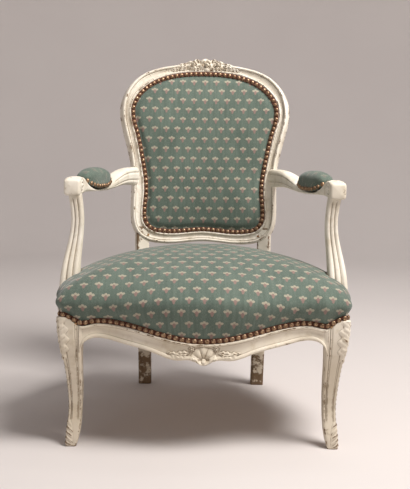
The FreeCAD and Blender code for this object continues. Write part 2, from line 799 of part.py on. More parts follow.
def back_outline():
    """Outer outline of the back frame with the stubs of its stiles, right half first."""
    words = ("crest_side", "joint", "turn", "shoulder", "flank", "waist", "hip", "base")
    keys = [(0, size("back_crest_rise"), 0)]
    for word in words:
        keys.append((size(f"back_{word}_reach"), size(f"back_{word}_rise"), 0))
    outer = from_middle(keys, 25)
    inner = size("back_base_reach") - size("back_base_width")
    base = size("back_base_rise")
    joint = size("back_joint_reach")
    under = [
        Vector(inner + size("back_base_width") / 2, base, 0),
        Vector(inner, base, 0),
        Vector(inner - 3, size("lower_rail_end_rise") - 7, 0),
        Vector(joint, size("lower_rail_end_rise"), 0),
    ]
    rail = from_middle(
        [
            (0, size("lower_rail_middle_rise"), 0),
            (size("lower_rail_side_reach"), size("lower_rail_side_rise"), 0),
            (joint, size("lower_rail_end_rise"), 0),
        ],
        5,
    )
    return symmetric(outer + under + rail[-2::-1])


def nail_outline():
    """Nail line of the back panel, right half first."""
    words = ("arch", "turn", "shoulder", "flank", "waist", "hip", "heel", "low")
    keys = [(0, size("panel_top_rise"), 0)]
    for word in words:
        keys.append((size(f"panel_{word}_reach"), size(f"panel_{word}_rise"), 0))
    keys.append((0, size("panel_bottom_rise"), 0))
    left = [(-reach, rise, 0) for reach, rise, flat in reversed(keys[1:-1])]
    curve = Part.BSplineCurve()
    curve.interpolate(Points=[Vector(*key) for key in keys + left], PeriodicFlag=True)
    half = curve.discretize(Number=49)[:25]
    half[0], half[-1] = Vector(0, half[0].y, 0), Vector(0, half[-1].y, 0)
    return symmetric(half)


panel = nail_outline()
board_depth = size("rear_leg_depth")


def back_frame():
    """The whole bent frame as one board, before it is parted at its joints."""
    board = bent((-240, 240), (40, 600), (0, board_depth))
    opening = outset(panel, -size("back_rebate_margin"))
    framed = board.common(bent_prism(back_outline())).cut(bent_prism(opening))
    recess = bent((-230, 230), (60, 580), (-2, size("back_rebate_depth")))
    return framed.cut(recess.common(bent_prism(panel)))


frame_blank = back_frame()
joint_reach = size("back_joint_reach")
middle_rise = size("back_waist_rise")
crest_blank = frame_blank.common(bent((-joint_reach, joint_reach), (middle_rise, 640), (-20, 70)))
lower_blank = frame_blank.common(bent((-joint_reach, joint_reach), (30, middle_rise), (-20, 70)))
stile_top = frame_blank.common(bent((joint_reach, 270), (30, 640), (-20, 70)))


def rear_leg():
    """The right rear leg below the bent back, through five four-sided sections."""
    base = size("back_base_rise")
    outer = size("back_base_reach")
    inner = outer - size("back_base_width")
    corners = ((inner, 0), (outer, 0), (outer, board_depth), (inner, board_depth))
    top = [back_place(reach, base, depth) for reach, depth in corners]
    sections = [Part.makePolygon(top + top[:1])]
    stations = [
        ("hip", size("rear_hip_height"), size("rear_leg_width")),
        ("thigh", size("rear_thigh_height"), size("rear_leg_width")),
        ("shin", size("rear_shin_height"), size("rear_leg_width")),
        ("foot", 0, size("rear_foot_width")),
    ]
    for word, height, width in stations:
        reach = size(f"rear_{word}_reach")
        front = size(f"rear_{word}_setback")
        low = [
            Vector(reach - width, front, height),
            Vector(reach, front, height),
            Vector(reach, front + board_depth, height),
            Vector(reach - width, front + board_depth, height),
        ]
        sections.append(Part.makePolygon(low + low[:1]))
    return Part.makeLoft(sections, True, False)


def back_tenon(rise):
    """A tenon across the joint of a stile with the crest rail or the lower rail."""
    depth = (board_depth - size("back_tenon_thickness")) / 2 + size("back_rebate_depth") / 2
    reaches = (joint_reach - 2, joint_reach + size("back_tenon_length"))
    rises = (rise, rise + size("back_tenon_height"))
    return bent(reaches, rises, (depth, depth + size("back_tenon_thickness")))


stile_blank = fixed("rear_stile_blank", stile_top.fuse(rear_leg()).removeSplitter())
crest_tenon = fixed("crest_tenon", back_tenon(size("crest_tenon_rise")))
lower_tenon = fixed("lower_tenon", back_tenon(size("lower_tenon_rise")))


def back_peg(name, rise):
    """A peg through the tenon of a back joint, from the front face to the rear face."""
    reach = joint_reach + size("back_tenon_length") / 2
    front = back_place(reach, rise, 1)
    rear = back_place(reach, rise, board_depth - 1)
    length = (rear - front).Length
    return fixed(name, Part.makeCylinder(size("peg_radius") * 0.8, length, front, rear - front))


back_pegs = [
    back_peg("crest_peg", size("crest_tenon_rise") + size("back_tenon_height") / 2),
    back_peg("lower_rail_peg", size("lower_tenon_rise") + size("back_tenon_height") / 2),
]


# Arms and their supports

def oval(centre, across, along, side):
    """A rounded four-sided section: centre, two half axes as vectors, eight points of arcs."""
    points = []
    for corner in range(8):
        angle = math.pi * corner / 4
        push = 1.14 if corner % 2 else side
        points.append(centre + across * (math.cos(angle) * push) + along * (math.sin(angle) * push))
    return points


def station(word, width=None, depth=None):
    """A section of the arm across its run, from the sheet."""
    width = size(width or f"arm_{word}_width") / 2
    depth = size(depth or f"arm_{word}_depth") / 2
    centre = Vector(size(f"arm_{word}_reach"), size(f"arm_{word}_setback"), size(f"arm_{word}_height"))
    return arcs(oval(centre, Vector(width, 0, 0), Vector(0, 0, depth), 1))


def armrest_blank():
    """The right arm, from inside the stile to the scroll."""
    sections = [
        station("root"),
        station("neck"),
        station("elbow", "arm_seat_width", "arm_seat_depth"),
        station("fore", "arm_seat_width", "arm_seat_depth"),
        station("wrist"),
        station("scroll"),
    ]
    return Part.makeLoft(sections, True, False)


def support_blank():
    """The right arm support, from the seat rail to inside the arm."""
    places = [
        ("foot", rail_top, size("support_foot_width"), size("support_foot_depth")),
        ("shin", size("support_shin_height"), size("support_shin_side"), size("support_shin_side")),
        ("waist", size("support_waist_height"), size("support_waist_side"), size("support_waist_side")),
        ("neck", size("support_neck_height"), size("support_neck_side"), size("support_neck_side")),
        ("head", size("support_head_height"), size("support_head_side"), size("support_head_side")),
    ]
    sections = []
    for word, height, width, depth in places:
        centre = Vector(size(f"support_{word}_reach"), size(f"support_{word}_setback"), height)
        sections.append(arcs(oval(centre, Vector(width / 2, 0, 0), Vector(0, depth / 2, 0), 1)))
    return Part.makeLoft(sections, True, False)


arm_blank = fixed("armrest_blank", armrest_blank())
support_shape = fixed("arm_support_blank", support_blank())
support_tenon = box(
    "support_tenon",
    "tenon_thickness", "tenon_length", "support_tenon_length + 2",
    "support_foot_reach - 12", "support_foot_setback - tenon_length / 2",
    "seat_rail_top - support_tenon_length",
)
support_body = boolean("Cut", "arm_support_trimmed", support_shape, arm_blank)
support_head_tenon = fixed(
    "support_head_tenon",
    Part.makeCylinder(
        size("support_head_side") * 0.3,
        24,
        Vector(size("support_head_reach"), size("support_head_setback"), size("support_head_height") - 28),
    ),
)
support_right = gathered("arm_support_right", [support_body, support_tenon, support_head_tenon])
support_left = mirrored("arm_support_left", support_right)
arm_tenon = box(
    "arm_tenon",
    "tenon_thickness", "arm_tenon_length", "tenon_thickness * 2",
    "arm_root_reach - tenon_thickness / 2", "arm_root_setback - arm_tenon_length + 8",
    "arm_root_height - tenon_thickness",
)
arm_tools = gathered("arm_tools", [stile_blank, support_head_tenon])
arm_seated = boolean("Cut", "armrest_seated", arm_blank, arm_tools)
arm_right = gathered("armrest_right", [arm_seated, arm_tenon])
arm_left = mirrored("armrest_left", arm_right)

# Seat and back frames fitted together
rail_trim = gathered("front_rail_trim", [leg_blank, mirrored("leg_blank_left", leg_blank), rebate])
front_rail_body = boolean("Cut", "front_rail_body", fixed("front_rail_blank", front_rail_blank()), rail_trim)
front_rail_joined = gathered(
    "front_rail_joined", [front_rail_body, front_tenon, mirrored("front_tenon_left", front_tenon)]
)
front_peg_pair = gathered("front_peg_pair", [front_pegs[0], mirrored("front_peg_left", front_pegs[0])])
front_rail = boolean("Cut", "front_seat_rail", front_rail_joined, front_peg_pair)

side_trim = gathered("side_rail_trim", [leg_blank, stile_blank, rebate])
side_rail_body = boolean("Cut", "side_rail_body", fixed("side_rail_blank", side_rail_blank()), side_trim)
side_rail_joined = gathered("side_rail_joined", [side_rail_body, side_tenon, rear_side_tenon])
side_rail_cuts = gathered("side_rail_cuts", [support_tenon, front_pegs[1], rear_pegs[0]])
side_rail_right = boolean("Cut", "side_seat_rail_right", side_rail_joined, side_rail_cuts)
side_rail_left = mirrored("side_seat_rail_left", side_rail_right)

stile_tools = gathered(
    "stile_tools", [crest_tenon, lower_tenon, arm_tenon, rear_side_tenon, rear_tenon] + back_pegs + rear_pegs
)
stile_right = boolean("Cut", "rear_stile_right", stile_blank, stile_tools)
stile_left = mirrored("rear_stile_left", stile_right)


def rear_rail_board():
    """The rear rail as a sketch on the floor plane and a pad, before it is fitted."""
    body = doc.addObject("PartDesign::Body", "rear_rail_board")
    sketch = body.newObject("Sketcher::SketchObject", "rear_rail_plan")
    sketch.AttachmentSupport = [(body_plane(body, "XY_Plane"), "")]
    sketch.MapMode = "FlatFace"
    corners = [Vector(-20, -5, 0), Vector(20, -5, 0), Vector(20, 5, 0), Vector(-20, 5, 0)]
    rules = []
    for index in range(4):
        sketch.addGeometry(Part.LineSegment(corners[index], corners[(index + 1) % 4]))
        rules.append(Sketcher.Constraint("Coincident", index, 2, (index + 1) % 4, 1))
        rules.append(Sketcher.Constraint("Vertical" if index % 2 else "Horizontal", index))
    rules.append(Sketcher.Constraint("Symmetric", 0, 1, 2, 1, -1, 1))
    sketch.addConstraint(rules)
    length = sketch.addConstraint(Sketcher.Constraint("DistanceX", 0, 1, 0, 2, 40))
    width = sketch.addConstraint(Sketcher.Constraint("DistanceY", 1, 1, 1, 2, 10))
    sketch.setExpression(f"Constraints[{length}]", "2 * Sizes.rear_hip_reach - Sizes.rear_leg_width")
    sketch.setExpression(f"Constraints[{width}]", "Sizes.rear_rail_thickness")
    middle = "Sizes.rear_hip_setback + Sizes.rear_leg_depth / 2 + 4"
    sketch.setExpression("AttachmentOffset.Base.y", middle)
    sketch.setExpression("AttachmentOffset.Base.z", "Sizes.seat_rail_top - Sizes.rear_rail_depth")
    pad = body.newObject("PartDesign::Pad", "rear_rail_pad")
    pad.Profile = sketch
    pad.setExpression("Length", "Sizes.rear_rail_depth")
    body.Tip = pad
    return body


rear_rail_rebated = boolean("Cut", "rear_rail_rebated", rear_rail_board(), rebate)
both_stiles = gathered(
    "both_stile_blanks", [stile_blank, mirrored("stile_blank_left", stile_blank)], fused=False
)
rear_rail_body = boolean("Cut", "rear_rail_body", rear_rail_rebated, both_stiles)
rear_rail = gathered("rear_seat_rail", [rear_rail_body, rear_tenon])

crest_joined = gathered(
    "crest_joined",
    [fixed("crest_blank", crest_blank), crest_tenon, mirrored("crest_tenon_left", crest_tenon)],
)
crest_cuts = gathered("crest_cuts", [back_pegs[0], mirrored("crest_peg_left", back_pegs[0])])
crest_rail = boolean("Cut", "crest_rail", crest_joined, crest_cuts)
lower_joined = gathered(
    "lower_joined",
    [fixed("lower_blank", lower_blank), lower_tenon, mirrored("lower_tenon_left", lower_tenon)],
)
lower_cuts = gathered("lower_cuts", [back_pegs[1], mirrored("lower_peg_left", back_pegs[1])])
lower_rail = boolean("Cut", "back_lower_rail", lower_joined, lower_cuts)

seat_pegs_right = gathered("seat_pegs_right", front_pegs + rear_pegs, fused=False)
seat_pegs = gathered(
    "seat_frame_pegs", [seat_pegs_right, mirrored("seat_pegs_left", seat_pegs_right)], fused=False
)
back_pegs_right = gathered("back_pegs_right", back_pegs, fused=False)
back_pegs_both = gathered(
    "back_frame_pegs", [back_pegs_right, mirrored("back_pegs_left", back_pegs_right)], fused=False
)


# Corner blocks glued inside the seat frame

def corner_block(name, corner, towards, trim):
    """A right-angled block: its corner and the signs of its two legs, cut to fit the frame."""
    body = doc.addObject("PartDesign::Body", name + "_board")
    sketch = body.newObject("Sketcher::SketchObject", name + "_plan")
    sketch.AttachmentSupport = [(body_plane(body, "XY_Plane"), "")]
    sketch.MapMode = "FlatFace"
    left, back = towards
    points = [Vector(), Vector(left * 50, 0, 0), Vector(0, back * 50, 0)]
    for index in range(3):
        sketch.addGeometry(Part.LineSegment(points[index], points[(index + 1) % 3]))
    sketch.addConstraint([
        Sketcher.Constraint("Coincident", 0, 2, 1, 1),
        Sketcher.Constraint("Coincident", 1, 2, 2, 1),
        Sketcher.Constraint("Coincident", 2, 2, 0, 1),
        Sketcher.Constraint("Coincident", 0, 1, -1, 1),
        Sketcher.Constraint("Horizontal", 0),
        Sketcher.Constraint("Vertical", 2),
    ])
    for line in (0, 2):
        ends = (line, 1, line, 2) if line == 0 else (line, 2, line, 1)
        kind = "DistanceX" if line == 0 else "DistanceY"
        sign = left if line == 0 else back
        if sign < 0:
            ends = ends[2:] + ends[:2]
        length = sketch.addConstraint(Sketcher.Constraint(kind, *ends, 50))
        sketch.setExpression(f"Constraints[{length}]", "Sizes.corner_block_leg + Sizes.seat_rail_thickness")
    for axis, expression in zip("xyz", corner):
        sketch.setExpression(f"AttachmentOffset.Base.{axis}", cell(expression))
    pad = body.newObject("PartDesign::Pad", name + "_pad")
    pad.Profile = sketch
    pad.setExpression("Length", "Sizes.corner_block_height")
    body.Tip = pad
    inside = boolean("Common", name + "_inside", body, block_field)
    return boolean("Cut", name, inside, trim)


block_field = fixed("corner_block_field", slab(outset(outline, -size("webbing_inset")), 0, rail_top))
block_low = "seat_rail_top - corner_block_drop - corner_block_height"
front_block_trim = gathered("front_block_trim", [leg_blank, front_rail, side_rail_right])
front_block_right = corner_block(
    "corner_block_front_right",
    ("leg_block_reach", "- leg_block_bow", block_low),
    (-1, 1),
    front_block_trim,
)
front_block_left = mirrored("corner_block_front_left", front_block_right)
rear_block_trim = gathered("rear_block_trim", [stile_blank, rear_rail, side_rail_right])
rear_block_right = corner_block(
    "corner_block_rear_right",
    ("rear_hip_reach + rear_leg_width - 6", "rear_hip_setback + rear_leg_depth / 2", block_low),
    (-1, -1),
    rear_block_trim,
)
rear_block_left = mirrored("corner_block_rear_left", rear_block_right)


# Webbing, hessian and stuffing of the seat

def strip(low_corner, length, width, height):
    """A flat strip of webbing from its low corner."""
    return Part.makeBox(length, width, height, Vector(*low_corner))


def inside_frame(inset, low, high):
    """The seat outline drawn in, raised between two heights."""
    return slab(outset(outline, -inset), low, high)


web = size("webbing_thickness")
web_width = size("webbing_width")
pitch = size("webbing_pitch")


def seat_straps(lengthwise):
    """Webbing of the seat one way, trimmed to the frame: separate straps."""
    low = rail_top if lengthwise else rail_top + web
    field = inside_frame(size("webbing_inset"), low, low + web)
    straps = []
    if lengthwise:
        for step in (-1.5, -0.5, 0.5, 1.5):
            corner = (step * pitch - web_width / 2, -400, low)
            straps.append(strip(corner, web_width, 800, web))
    else:
        behind_support = size("support_foot_setback") + size("support_foot_depth") / 2 + 6
        starts = [-leg_rear()] + [behind_support + step * pitch for step in range(4)]
        for start in starts:
            straps.append(strip((-400, start, low), 800, web_width, web))
    return Part.makeCompound(straps).common(field)


lengthwise_webbing = fixed("seat_webbing_lengthwise", seat_straps(True))
crosswise_webbing = fixed("seat_webbing_crosswise", seat_straps(False))

room_right = box(
    "support_room_right",
    "support_foot_width + 30",
    "( support_foot_depth + support_waist_side ) / 2 + support_waist_setback - support_foot_setback"
    " + 2 * support_clearance",
    "seat_crown_height - seat_rail_top + 20",
    "support_foot_reach - support_foot_width / 2 - support_clearance",
    "support_foot_setback - support_foot_depth / 2 - support_clearance",
    "seat_rail_top",
)
rooms = gathered("support_rooms", [room_right, mirrored("support_room_left", room_right)], fused=False)

hessian_low = rail_top + 2 * web
hessian_top = hessian_low + size("hessian_thickness")
hessian_blank = fixed("seat_hessian_blank", inside_frame(size("hessian_inset"), hessian_low, hessian_top))
seat_hessian = boolean("Cut", "seat_hessian", hessian_blank, rooms)


def bulge_at(point):
    """How far the seat swells past the rail: most at the front, none at the stiles."""
    front_share = min(max((-leg_rear() - point.y) / size("leg_block_side"), 0), 1)
    front_share *= min(max((leg_block_outer() - abs(point.x)) / size("leg_block_side"), 0), 1)
    swell = size("seat_side_bulge") + front_share * (size("seat_bulge") - size("seat_side_bulge"))
    start = size("rear_hip_setback") - 90
    share = min(max((point.y - start) / 60, 0), 1)
    drawn_in = -(size("rebate_depth") - size("fit_gap") - size("cover_thickness"))
    return swell * (1 - share) + drawn_in * share


def seat_dome(inset):
    """Rings of the seat from its widest line up to its crown, drawn in by an inset."""
    crown = Vector(0, -size("seat_crown_bow"), size("seat_crown_height") - inset)
    low = size("seat_bulge_height")
    distances = [bulge_at(point) - inset for point in outline]
    widest = at_height(outset(outline, distances), low)
    rings = []
    for share in (1, 0.97, 0.88, 0.72, 0.5, 0.25):
        rise = (1 - share ** 2.2) ** 0.6
        height = low + (crown.z - low) * rise
        rings.append([
            Vector(p.x * share, crown.y + (p.y - crown.y) * share, height) for p in widest
        ])
    return rings, crown


def seat_stuffing():
    """The horsehair of the seat: flat below, swelling over the rails, domed above."""
    rings, crown = seat_dome(size("cover_thickness") + size("fit_gap"))
    low = hessian_top
    foot = at_height(outset(outline, -size("hessian_inset")), low)
    return closed_loft(Vector(0, crown.y, low), [foot] + rings, crown)


def seat_cover():
    """The cover of the seat: a thin shell from the nail line up and over the stuffing."""
    outer_rings, outer_crown = seat_dome(0)
    inner_rings, inner_crown = seat_dome(size("cover_thickness"))
    inner_line = size("fit_gap") - size("rebate_depth")
    outer_line = inner_line + size("cover_thickness")
    edges = [Vector(0, 0, size("fit_gap")), Vector(0, 0, size("gimp_width") + 2 * size("fit_gap"))]
    outer_skirt = [[p + edge for p in seat_ring(outer_line)] for edge in edges]
    inner_skirt = [[p + edge for p in seat_ring(inner_line)] for edge in edges]
    outer_skirt.append(swelling(outer_skirt[1], outer_rings[0]))
    inner_skirt.append(swelling(inner_skirt[1], inner_rings[0]))
    run = list(reversed(outer_rings)) + list(reversed(outer_skirt)) + inner_skirt + inner_rings
    return closed_loft(outer_crown, run, inner_crown)


def swelling(low, high):
    """A ring between two rings, nearer to the upper one in plan than in height."""
    plan, rise = 0.68, 0.5
    between = []
    for foot, head in zip(low, high):
        flat = foot + (head - foot) * plan
        between.append(Vector(flat.x, flat.y, foot.z + (head.z - foot.z) * rise))
    return between


stuffing_blank = fixed("seat_stuffing_blank", seat_stuffing())
seat_stuffing_made = boolean("Cut", "seat_stuffing", stuffing_blank, rooms)
cover_blank = fixed("seat_cover_blank", seat_cover())
seat_cover_made = boolean("Cut", "seat_cover", cover_blank, rooms)


# Gimp and nails of the seat

def gimp_ring():
    """A woven band round the seat, just above the nail line's lower edge."""
    inner = 2 * size("fit_gap") + size("cover_thickness") - size("rebate_depth")
    outer = inner + size("gimp_thickness")
    low = Vector(0, 0, size("fit_gap"))
    high = Vector(0, 0, size("gimp_width"))
    rings = [
        [p + low for p in seat_ring(inner)],
        [p + low for p in seat_ring(outer)],
        [p + high for p in seat_ring(outer)],
        [p + high for p in seat_ring(inner)],
    ]
    band_ring = ring_solid(rings)
    rear = size("seat_side_end_setback") - size("rebate_depth") - 2
    kept = Part.makeBox(800, 400 + rear, 200, Vector(-400, -400, 200))
    foot = size("support_foot_depth")
    under_support = Part.makeBox(800, foot, 200, Vector(-400, size("support_foot_setback") - foot / 2, 200))
    return band_ring.common(kept).cut(under_support)


seat_gimp = fixed("seat_gimp", gimp_ring())


def nail_body():
    """One decorative nail: a low dome turned about its axis, its flat back at the origin."""
    body = doc.addObject("PartDesign::Body", "nail_pattern")
    sketch = body.newObject("Sketcher::SketchObject", "nail_profile")
    sketch.AttachmentSupport = [(body_plane(body, "XZ_Plane"), "")]
    sketch.MapMode = "FlatFace"
    radius, height = size("nail_radius"), size("nail_height")
    sphere = (radius ** 2 + height ** 2) / (2 * height)
    middle = Vector(0, height - sphere, 0)
    start = math.atan2(-middle.y, radius)
    sketch.addGeometry(Part.LineSegment(Vector(0, 0, 0), Vector(radius, 0, 0)))
    circle = Part.Circle(middle, Vector(0, 0, 1), sphere)
    sketch.addGeometry(Part.ArcOfCircle(circle, start, math.pi / 2))
    sketch.addGeometry(Part.LineSegment(Vector(0, height, 0), Vector(0, 0, 0)))
    sketch.addConstraint([
        Sketcher.Constraint("Coincident", 0, 1, -1, 1),
        Sketcher.Constraint("Coincident", 0, 2, 1, 1),
        Sketcher.Constraint("Coincident", 1, 2, 2, 1),
        Sketcher.Constraint("Coincident", 2, 2, 0, 1),
        Sketcher.Constraint("Horizontal", 0),
        Sketcher.Constraint("Vertical", 2),
        Sketcher.Constraint("PointOnObject", 1, 3, -2),
    ])
    width = sketch.addConstraint(Sketcher.Constraint("DistanceX", 0, 1, 0, 2, radius))
    rise = sketch.addConstraint(Sketcher.Constraint("DistanceY", 2, 2, 2, 1, height))
    sketch.setExpression(f"Constraints[{width}]", "Sizes.nail_radius")
    sketch.setExpression(f"Constraints[{rise}]", "Sizes.nail_height")
    turned = body.newObject("PartDesign::Revolution", "nail_turned")
    turned.Profile = sketch
    turned.ReferenceAxis = (sketch, ["V_Axis"])
    turned.Angle = 360
    body.Tip = turned
    return body


nail = nail_body()
nail.recompute(True)


def nailed(spots):
    """Copies of the nail at spots, each a place and the direction its dome faces."""
    heads = []
    for place, facing in spots:
        head = nail.Shape.copy()
        head.Placement = FreeCAD.Placement(place, Rotation(Vector(0, 0, 1), facing))
        heads.append(head)
    return Part.makeCompound(heads)


def spaced(points, spacing, closed=False):
    """Evenly spaced places along a run of points, with the direction of the run at each."""
    run = list(points) + (points[:1] if closed else [])
    lengths = [(b - a).Length for a, b in zip(run, run[1:])]
    count = max(int(round(sum(lengths) / spacing)), 1)
    places = []
    for number in range(count if closed else count + 1):
        left = sum(lengths) * number / count
        for index, length in enumerate(lengths):
            if left <= length or index == len(lengths) - 1:
                along = run[index + 1] - run[index]
                places.append((run[index] + along * min(left / length, 1), along.normalize()))
                break
            left -= length
    return places


def onto(curve, point):
    """The point of a wire nearest to a point."""
    return curve.distToShape(Part.Vertex(point))[1][0][0]


def edge_spots(places, ring, middle):
    """Nails on the arcs of an upright ring, clear of its hollows and facing away from a middle."""
    curve = arcs(ring)
    reach = size("nail_radius")
    spots = []
    for place, along in places:
        seat = onto(curve, place)
        before, after = onto(curve, place - along * reach), onto(curve, place + along * reach)
        facing = Vector(after.y - before.y, before.x - after.x, 0).normalize()
        if facing.dot(seat - middle) < 0:
            facing = facing * -1
        hollow = max(((before + after) * 0.5 - seat).dot(facing), 0)
        spots.append((seat + facing * hollow, facing))
    return spots


def seat_nails():
    """Nails along the gimp of the seat, ahead of the supports and behind them."""
    cloth = 2 * size("fit_gap") + size("cover_thickness")
    distance = cloth + size("gimp_thickness") + size("fit_gap") - size("rebate_depth")
    lift = Vector(0, 0, (size("gimp_width") + size("fit_gap")) / 2)
    ring = [p + lift for p in seat_ring(distance)]
    half = ring[:21]
    clear = size("support_foot_depth") / 2 + size("nail_radius") + 1
    ahead = [p for p in half if p.y < size("support_foot_setback") - clear]
    behind = [p for p in half if p.y > size("support_foot_setback") + clear]
    front = [Vector(-p.x, p.y, p.z) for p in reversed(ahead[1:])] + ahead
    sides = [behind[:-1], [Vector(-p.x, p.y, p.z) for p in behind[:-1]]]
    middle = Vector(0, -size("seat_crown_bow"), 0)
    spots = []
    for run in [front] + sides:
        spots += edge_spots(spaced(run, size("nail_pitch")), ring, middle)
    return nailed(spots)


seat_nails_made = fixed("seat_nails", seat_nails())


# Upholstery of the back

rebate_floor = size("back_rebate_depth")
rebate_outline = outset(panel, -size("fit_gap"))
whole_panel = ((-230, 230), (60, 580))


def panel_sheet(outline_points, front, rear):
    """A sheet on the bend inside an outline, between two depths."""
    reaches, rises = whole_panel
    return bent(reaches, rises, (front, rear)).common(bent_prism(outline_points))


def back_straps():
    """Webbing of the back: four straps across on the rebate and three up and down over them."""
    across = []
    upright = []
    for step in range(4):
        low = size("panel_bottom_rise") + 30 + step * 1.55 * pitch
        across.append(bent((-230, 230), (low, low + web_width), (rebate_floor - web, rebate_floor)))
    for step in (-1, 0, 1):
        left = step * 1.3 * pitch - web_width / 2
        depths = (rebate_floor - 2 * web, rebate_floor - web)
        upright.append(bent((left, left + web_width), (60, 580), depths))
    field = bent_prism(rebate_outline)
    layers = [Part.makeCompound(layer).common(field) for layer in (across, upright)]
    return Part.makeCompound(layers[0].Solids + layers[1].Solids)


back_webbing = fixed("back_webbing", back_straps())
hessian_rear = rebate_floor - 2 * web
hessian_front = hessian_rear - size("hessian_thickness")
back_hessian = fixed("back_hessian", panel_sheet(rebate_outline, hessian_front, hessian_rear))


def panel_dome(inset, edge_depth):
    """Rings of the back pad from its edge to its crown, on the bend."""
    rings = []
    middle = (size("panel_top_rise") + size("panel_bottom_rise")) / 2
    crown = -(size("back_pad_crown") - inset)
    edge = outset(panel, -size("fit_gap") - inset)
    rings.append(panel_ring(edge, edge_depth))
    spring = outset(panel, -size("gimp_width") / 2 - 1 - inset)
    for share in (1, 0.96, 0.88, 0.74, 0.5, 0.25):
        swell = (1 - share ** 2.6) ** 0.7
        depth = edge_depth + (crown - edge_depth) * swell
        points = [Vector(p.x * share, middle + (p.y - middle) * share, 0) for p in spring]
        rings.append(panel_ring(points, depth))
    return rings, back_place(0, middle, crown)


def back_stuffing():
    """The pad of the back, from the hessian to under the cover."""
    inset = size("cover_thickness") + size("fit_gap")
    rings, crown = panel_dome(inset, inset)
    flat = []
    middle = (size("panel_top_rise") + size("panel_bottom_rise")) / 2
    for share in (0.25, 0.5, 0.75, 1):
        points = outset(panel, -inset - size("fit_gap"))
        points = [Vector(p.x * share, middle + (p.y - middle) * share, 0) for p in points]
        flat.append(panel_ring(points, hessian_front - size("fit_gap")))
    return closed_loft(back_place(0, middle, hessian_front - size("fit_gap")), flat + rings, crown)


def back_cover():
    """The cover of the back pad: a thin shell whose edge lies in the rebate at the nail line."""
    outer_rings, outer_crown = panel_dome(0, 0)
    inner_rings, inner_crown = panel_dome(size("cover_thickness"), size("cover_thickness"))
    run = list(reversed(outer_rings)) + inner_rings
    return closed_loft(outer_crown, run, inner_crown)


back_stuffing_made = fixed("back_stuffing", back_stuffing())
back_cover_made = fixed("back_cover", back_cover())


def panel_band(front, rear):
    """A band of gimp along the nail line of the back, between two depths."""
    half = size("gimp_width") / 2
    inner, outer = outset(panel, -half), outset(panel, half)
    return ring_solid([
        panel_ring(inner, front),
        panel_ring(outer, front),
        panel_ring(outer, rear),
        panel_ring(inner, rear),
    ])


def panel_nails(depth, forward):
    """Nails along the back's nail line, facing the sitter or the rear."""
    ring = [back_place(p.x, p.y, depth) for p in panel]
    spots = []
    curve = arcs(ring)
    for chord_place, along in spaced(ring, size("nail_pitch"), closed=True):
        place = onto(curve, chord_place)
        turn = math.asin(place.x / (size("back_bend_radius") + depth))
        rake = math.radians(size("back_rake"))
        out = Vector(-math.sin(turn), -math.cos(turn) * math.cos(rake), math.cos(turn) * math.sin(rake))
        spots.append((place, out if forward else out * -1))
    return nailed(spots)


seat_gap = size("fit_gap") / 2
gimp_front = -size("gimp_thickness") - seat_gap
back_gimp = fixed("back_gimp", panel_band(gimp_front, -seat_gap))
back_nails = fixed("back_nails", panel_nails(gimp_front - seat_gap, True))
rear_cloth = board_depth + size("cover_thickness")
outside_cover = fixed(
    "back_outside_cover", panel_sheet(outset(panel, size("gimp_width") / 2), board_depth, rear_cloth)
)
rear_gimp_low = rear_cloth + seat_gap
rear_gimp_top = rear_gimp_low + size("gimp_thickness")
rear_gimp = fixed("back_rear_gimp", panel_band(rear_gimp_low, rear_gimp_top))
rear_nails = fixed("back_rear_nails", panel_nails(rear_gimp_top + seat_gap, False))


# Elbow pads

def pad_outline(growth, height):
    """Plan of the right elbow pad, a long oval turned along the arm."""
    front = Vector(size("arm_fore_reach"), size("arm_fore_setback"), 0)
    rear = Vector(size("arm_elbow_reach"), size("arm_elbow_setback"), 0)
    along = (rear - front).normalize()
    across = Vector(along.y, -along.x, 0)
    half_length = size("pad_length") / 2 + growth
    half_width = size("pad_width") / 2 + growth
    start = size("pad_front_setback") - front.y
    middle = front + along * (start / along.y + size("pad_length") / 2)
    points = []
    for step in range(16):
        angle = 2 * math.pi * step / 16
        reach = abs(math.cos(angle)) ** 0.6 * math.copysign(1, math.cos(angle))
        side = abs(math.sin(angle)) ** 0.6 * math.copysign(1, math.sin(angle))
        points.append(middle + along * (half_length * reach) + across * (half_width * side))
    return at_height(points, height)


def pad_edge(growth, lift=0):
    """Edge of the elbow's cover: highest at its ends, dipping at the sides of the arm."""
    top = size("arm_fore_height") + size("arm_seat_depth") / 2
    points = []
    for step, point in enumerate(pad_outline(growth, 0)):
        side_share = abs(math.sin(2 * math.pi * step / 16)) ** 1.5
        fall = side_share * (size("pad_edge_rise") + size("pad_edge_drop"))
        points.append(Vector(point.x, point.y, top + size("pad_edge_rise") - fall + lift))
    return points


def pad_rings(inset):
    """Rings of the elbow pad from its edge on the arm up to its crown."""
    low = size("arm_fore_height")
    crown = size("pad_rise") + low + size("arm_seat_depth") / 2 - inset
    spring = low + size("arm_seat_depth") / 2 + size("pad_edge_rise") + 2 * size("nail_radius")
    rings = [pad_edge(-inset), pad_outline(-inset, spring)]
    middle = sum(rings[1], Vector()) * (1 / len(rings[1]))
    for share in (0.96, 0.85, 0.68, 0.45, 0.2):
        height = spring + (crown - spring) * (1 - share ** 2.2) ** 0.6
        ring = [middle + (p - middle) * share for p in rings[1]]
        rings.append(at_height(ring, height))
    return rings, Vector(middle.x, middle.y, crown), Vector(middle.x, middle.y, low)


def pad_stuffing():
    """Horsehair of the right elbow pad, before it is fitted to the arm."""
    rings, crown, foot = pad_rings(size("cover_thickness") + size("fit_gap"))
    return closed_loft(foot, rings, crown)


def pad_cover():
    """Cover of the right elbow pad, before it is fitted to the arm."""
    outer, outer_crown, foot = pad_rings(0)
    inner, inner_crown, foot = pad_rings(size("cover_thickness"))
    return closed_loft(outer_crown, list(reversed(outer)) + inner, inner_crown)


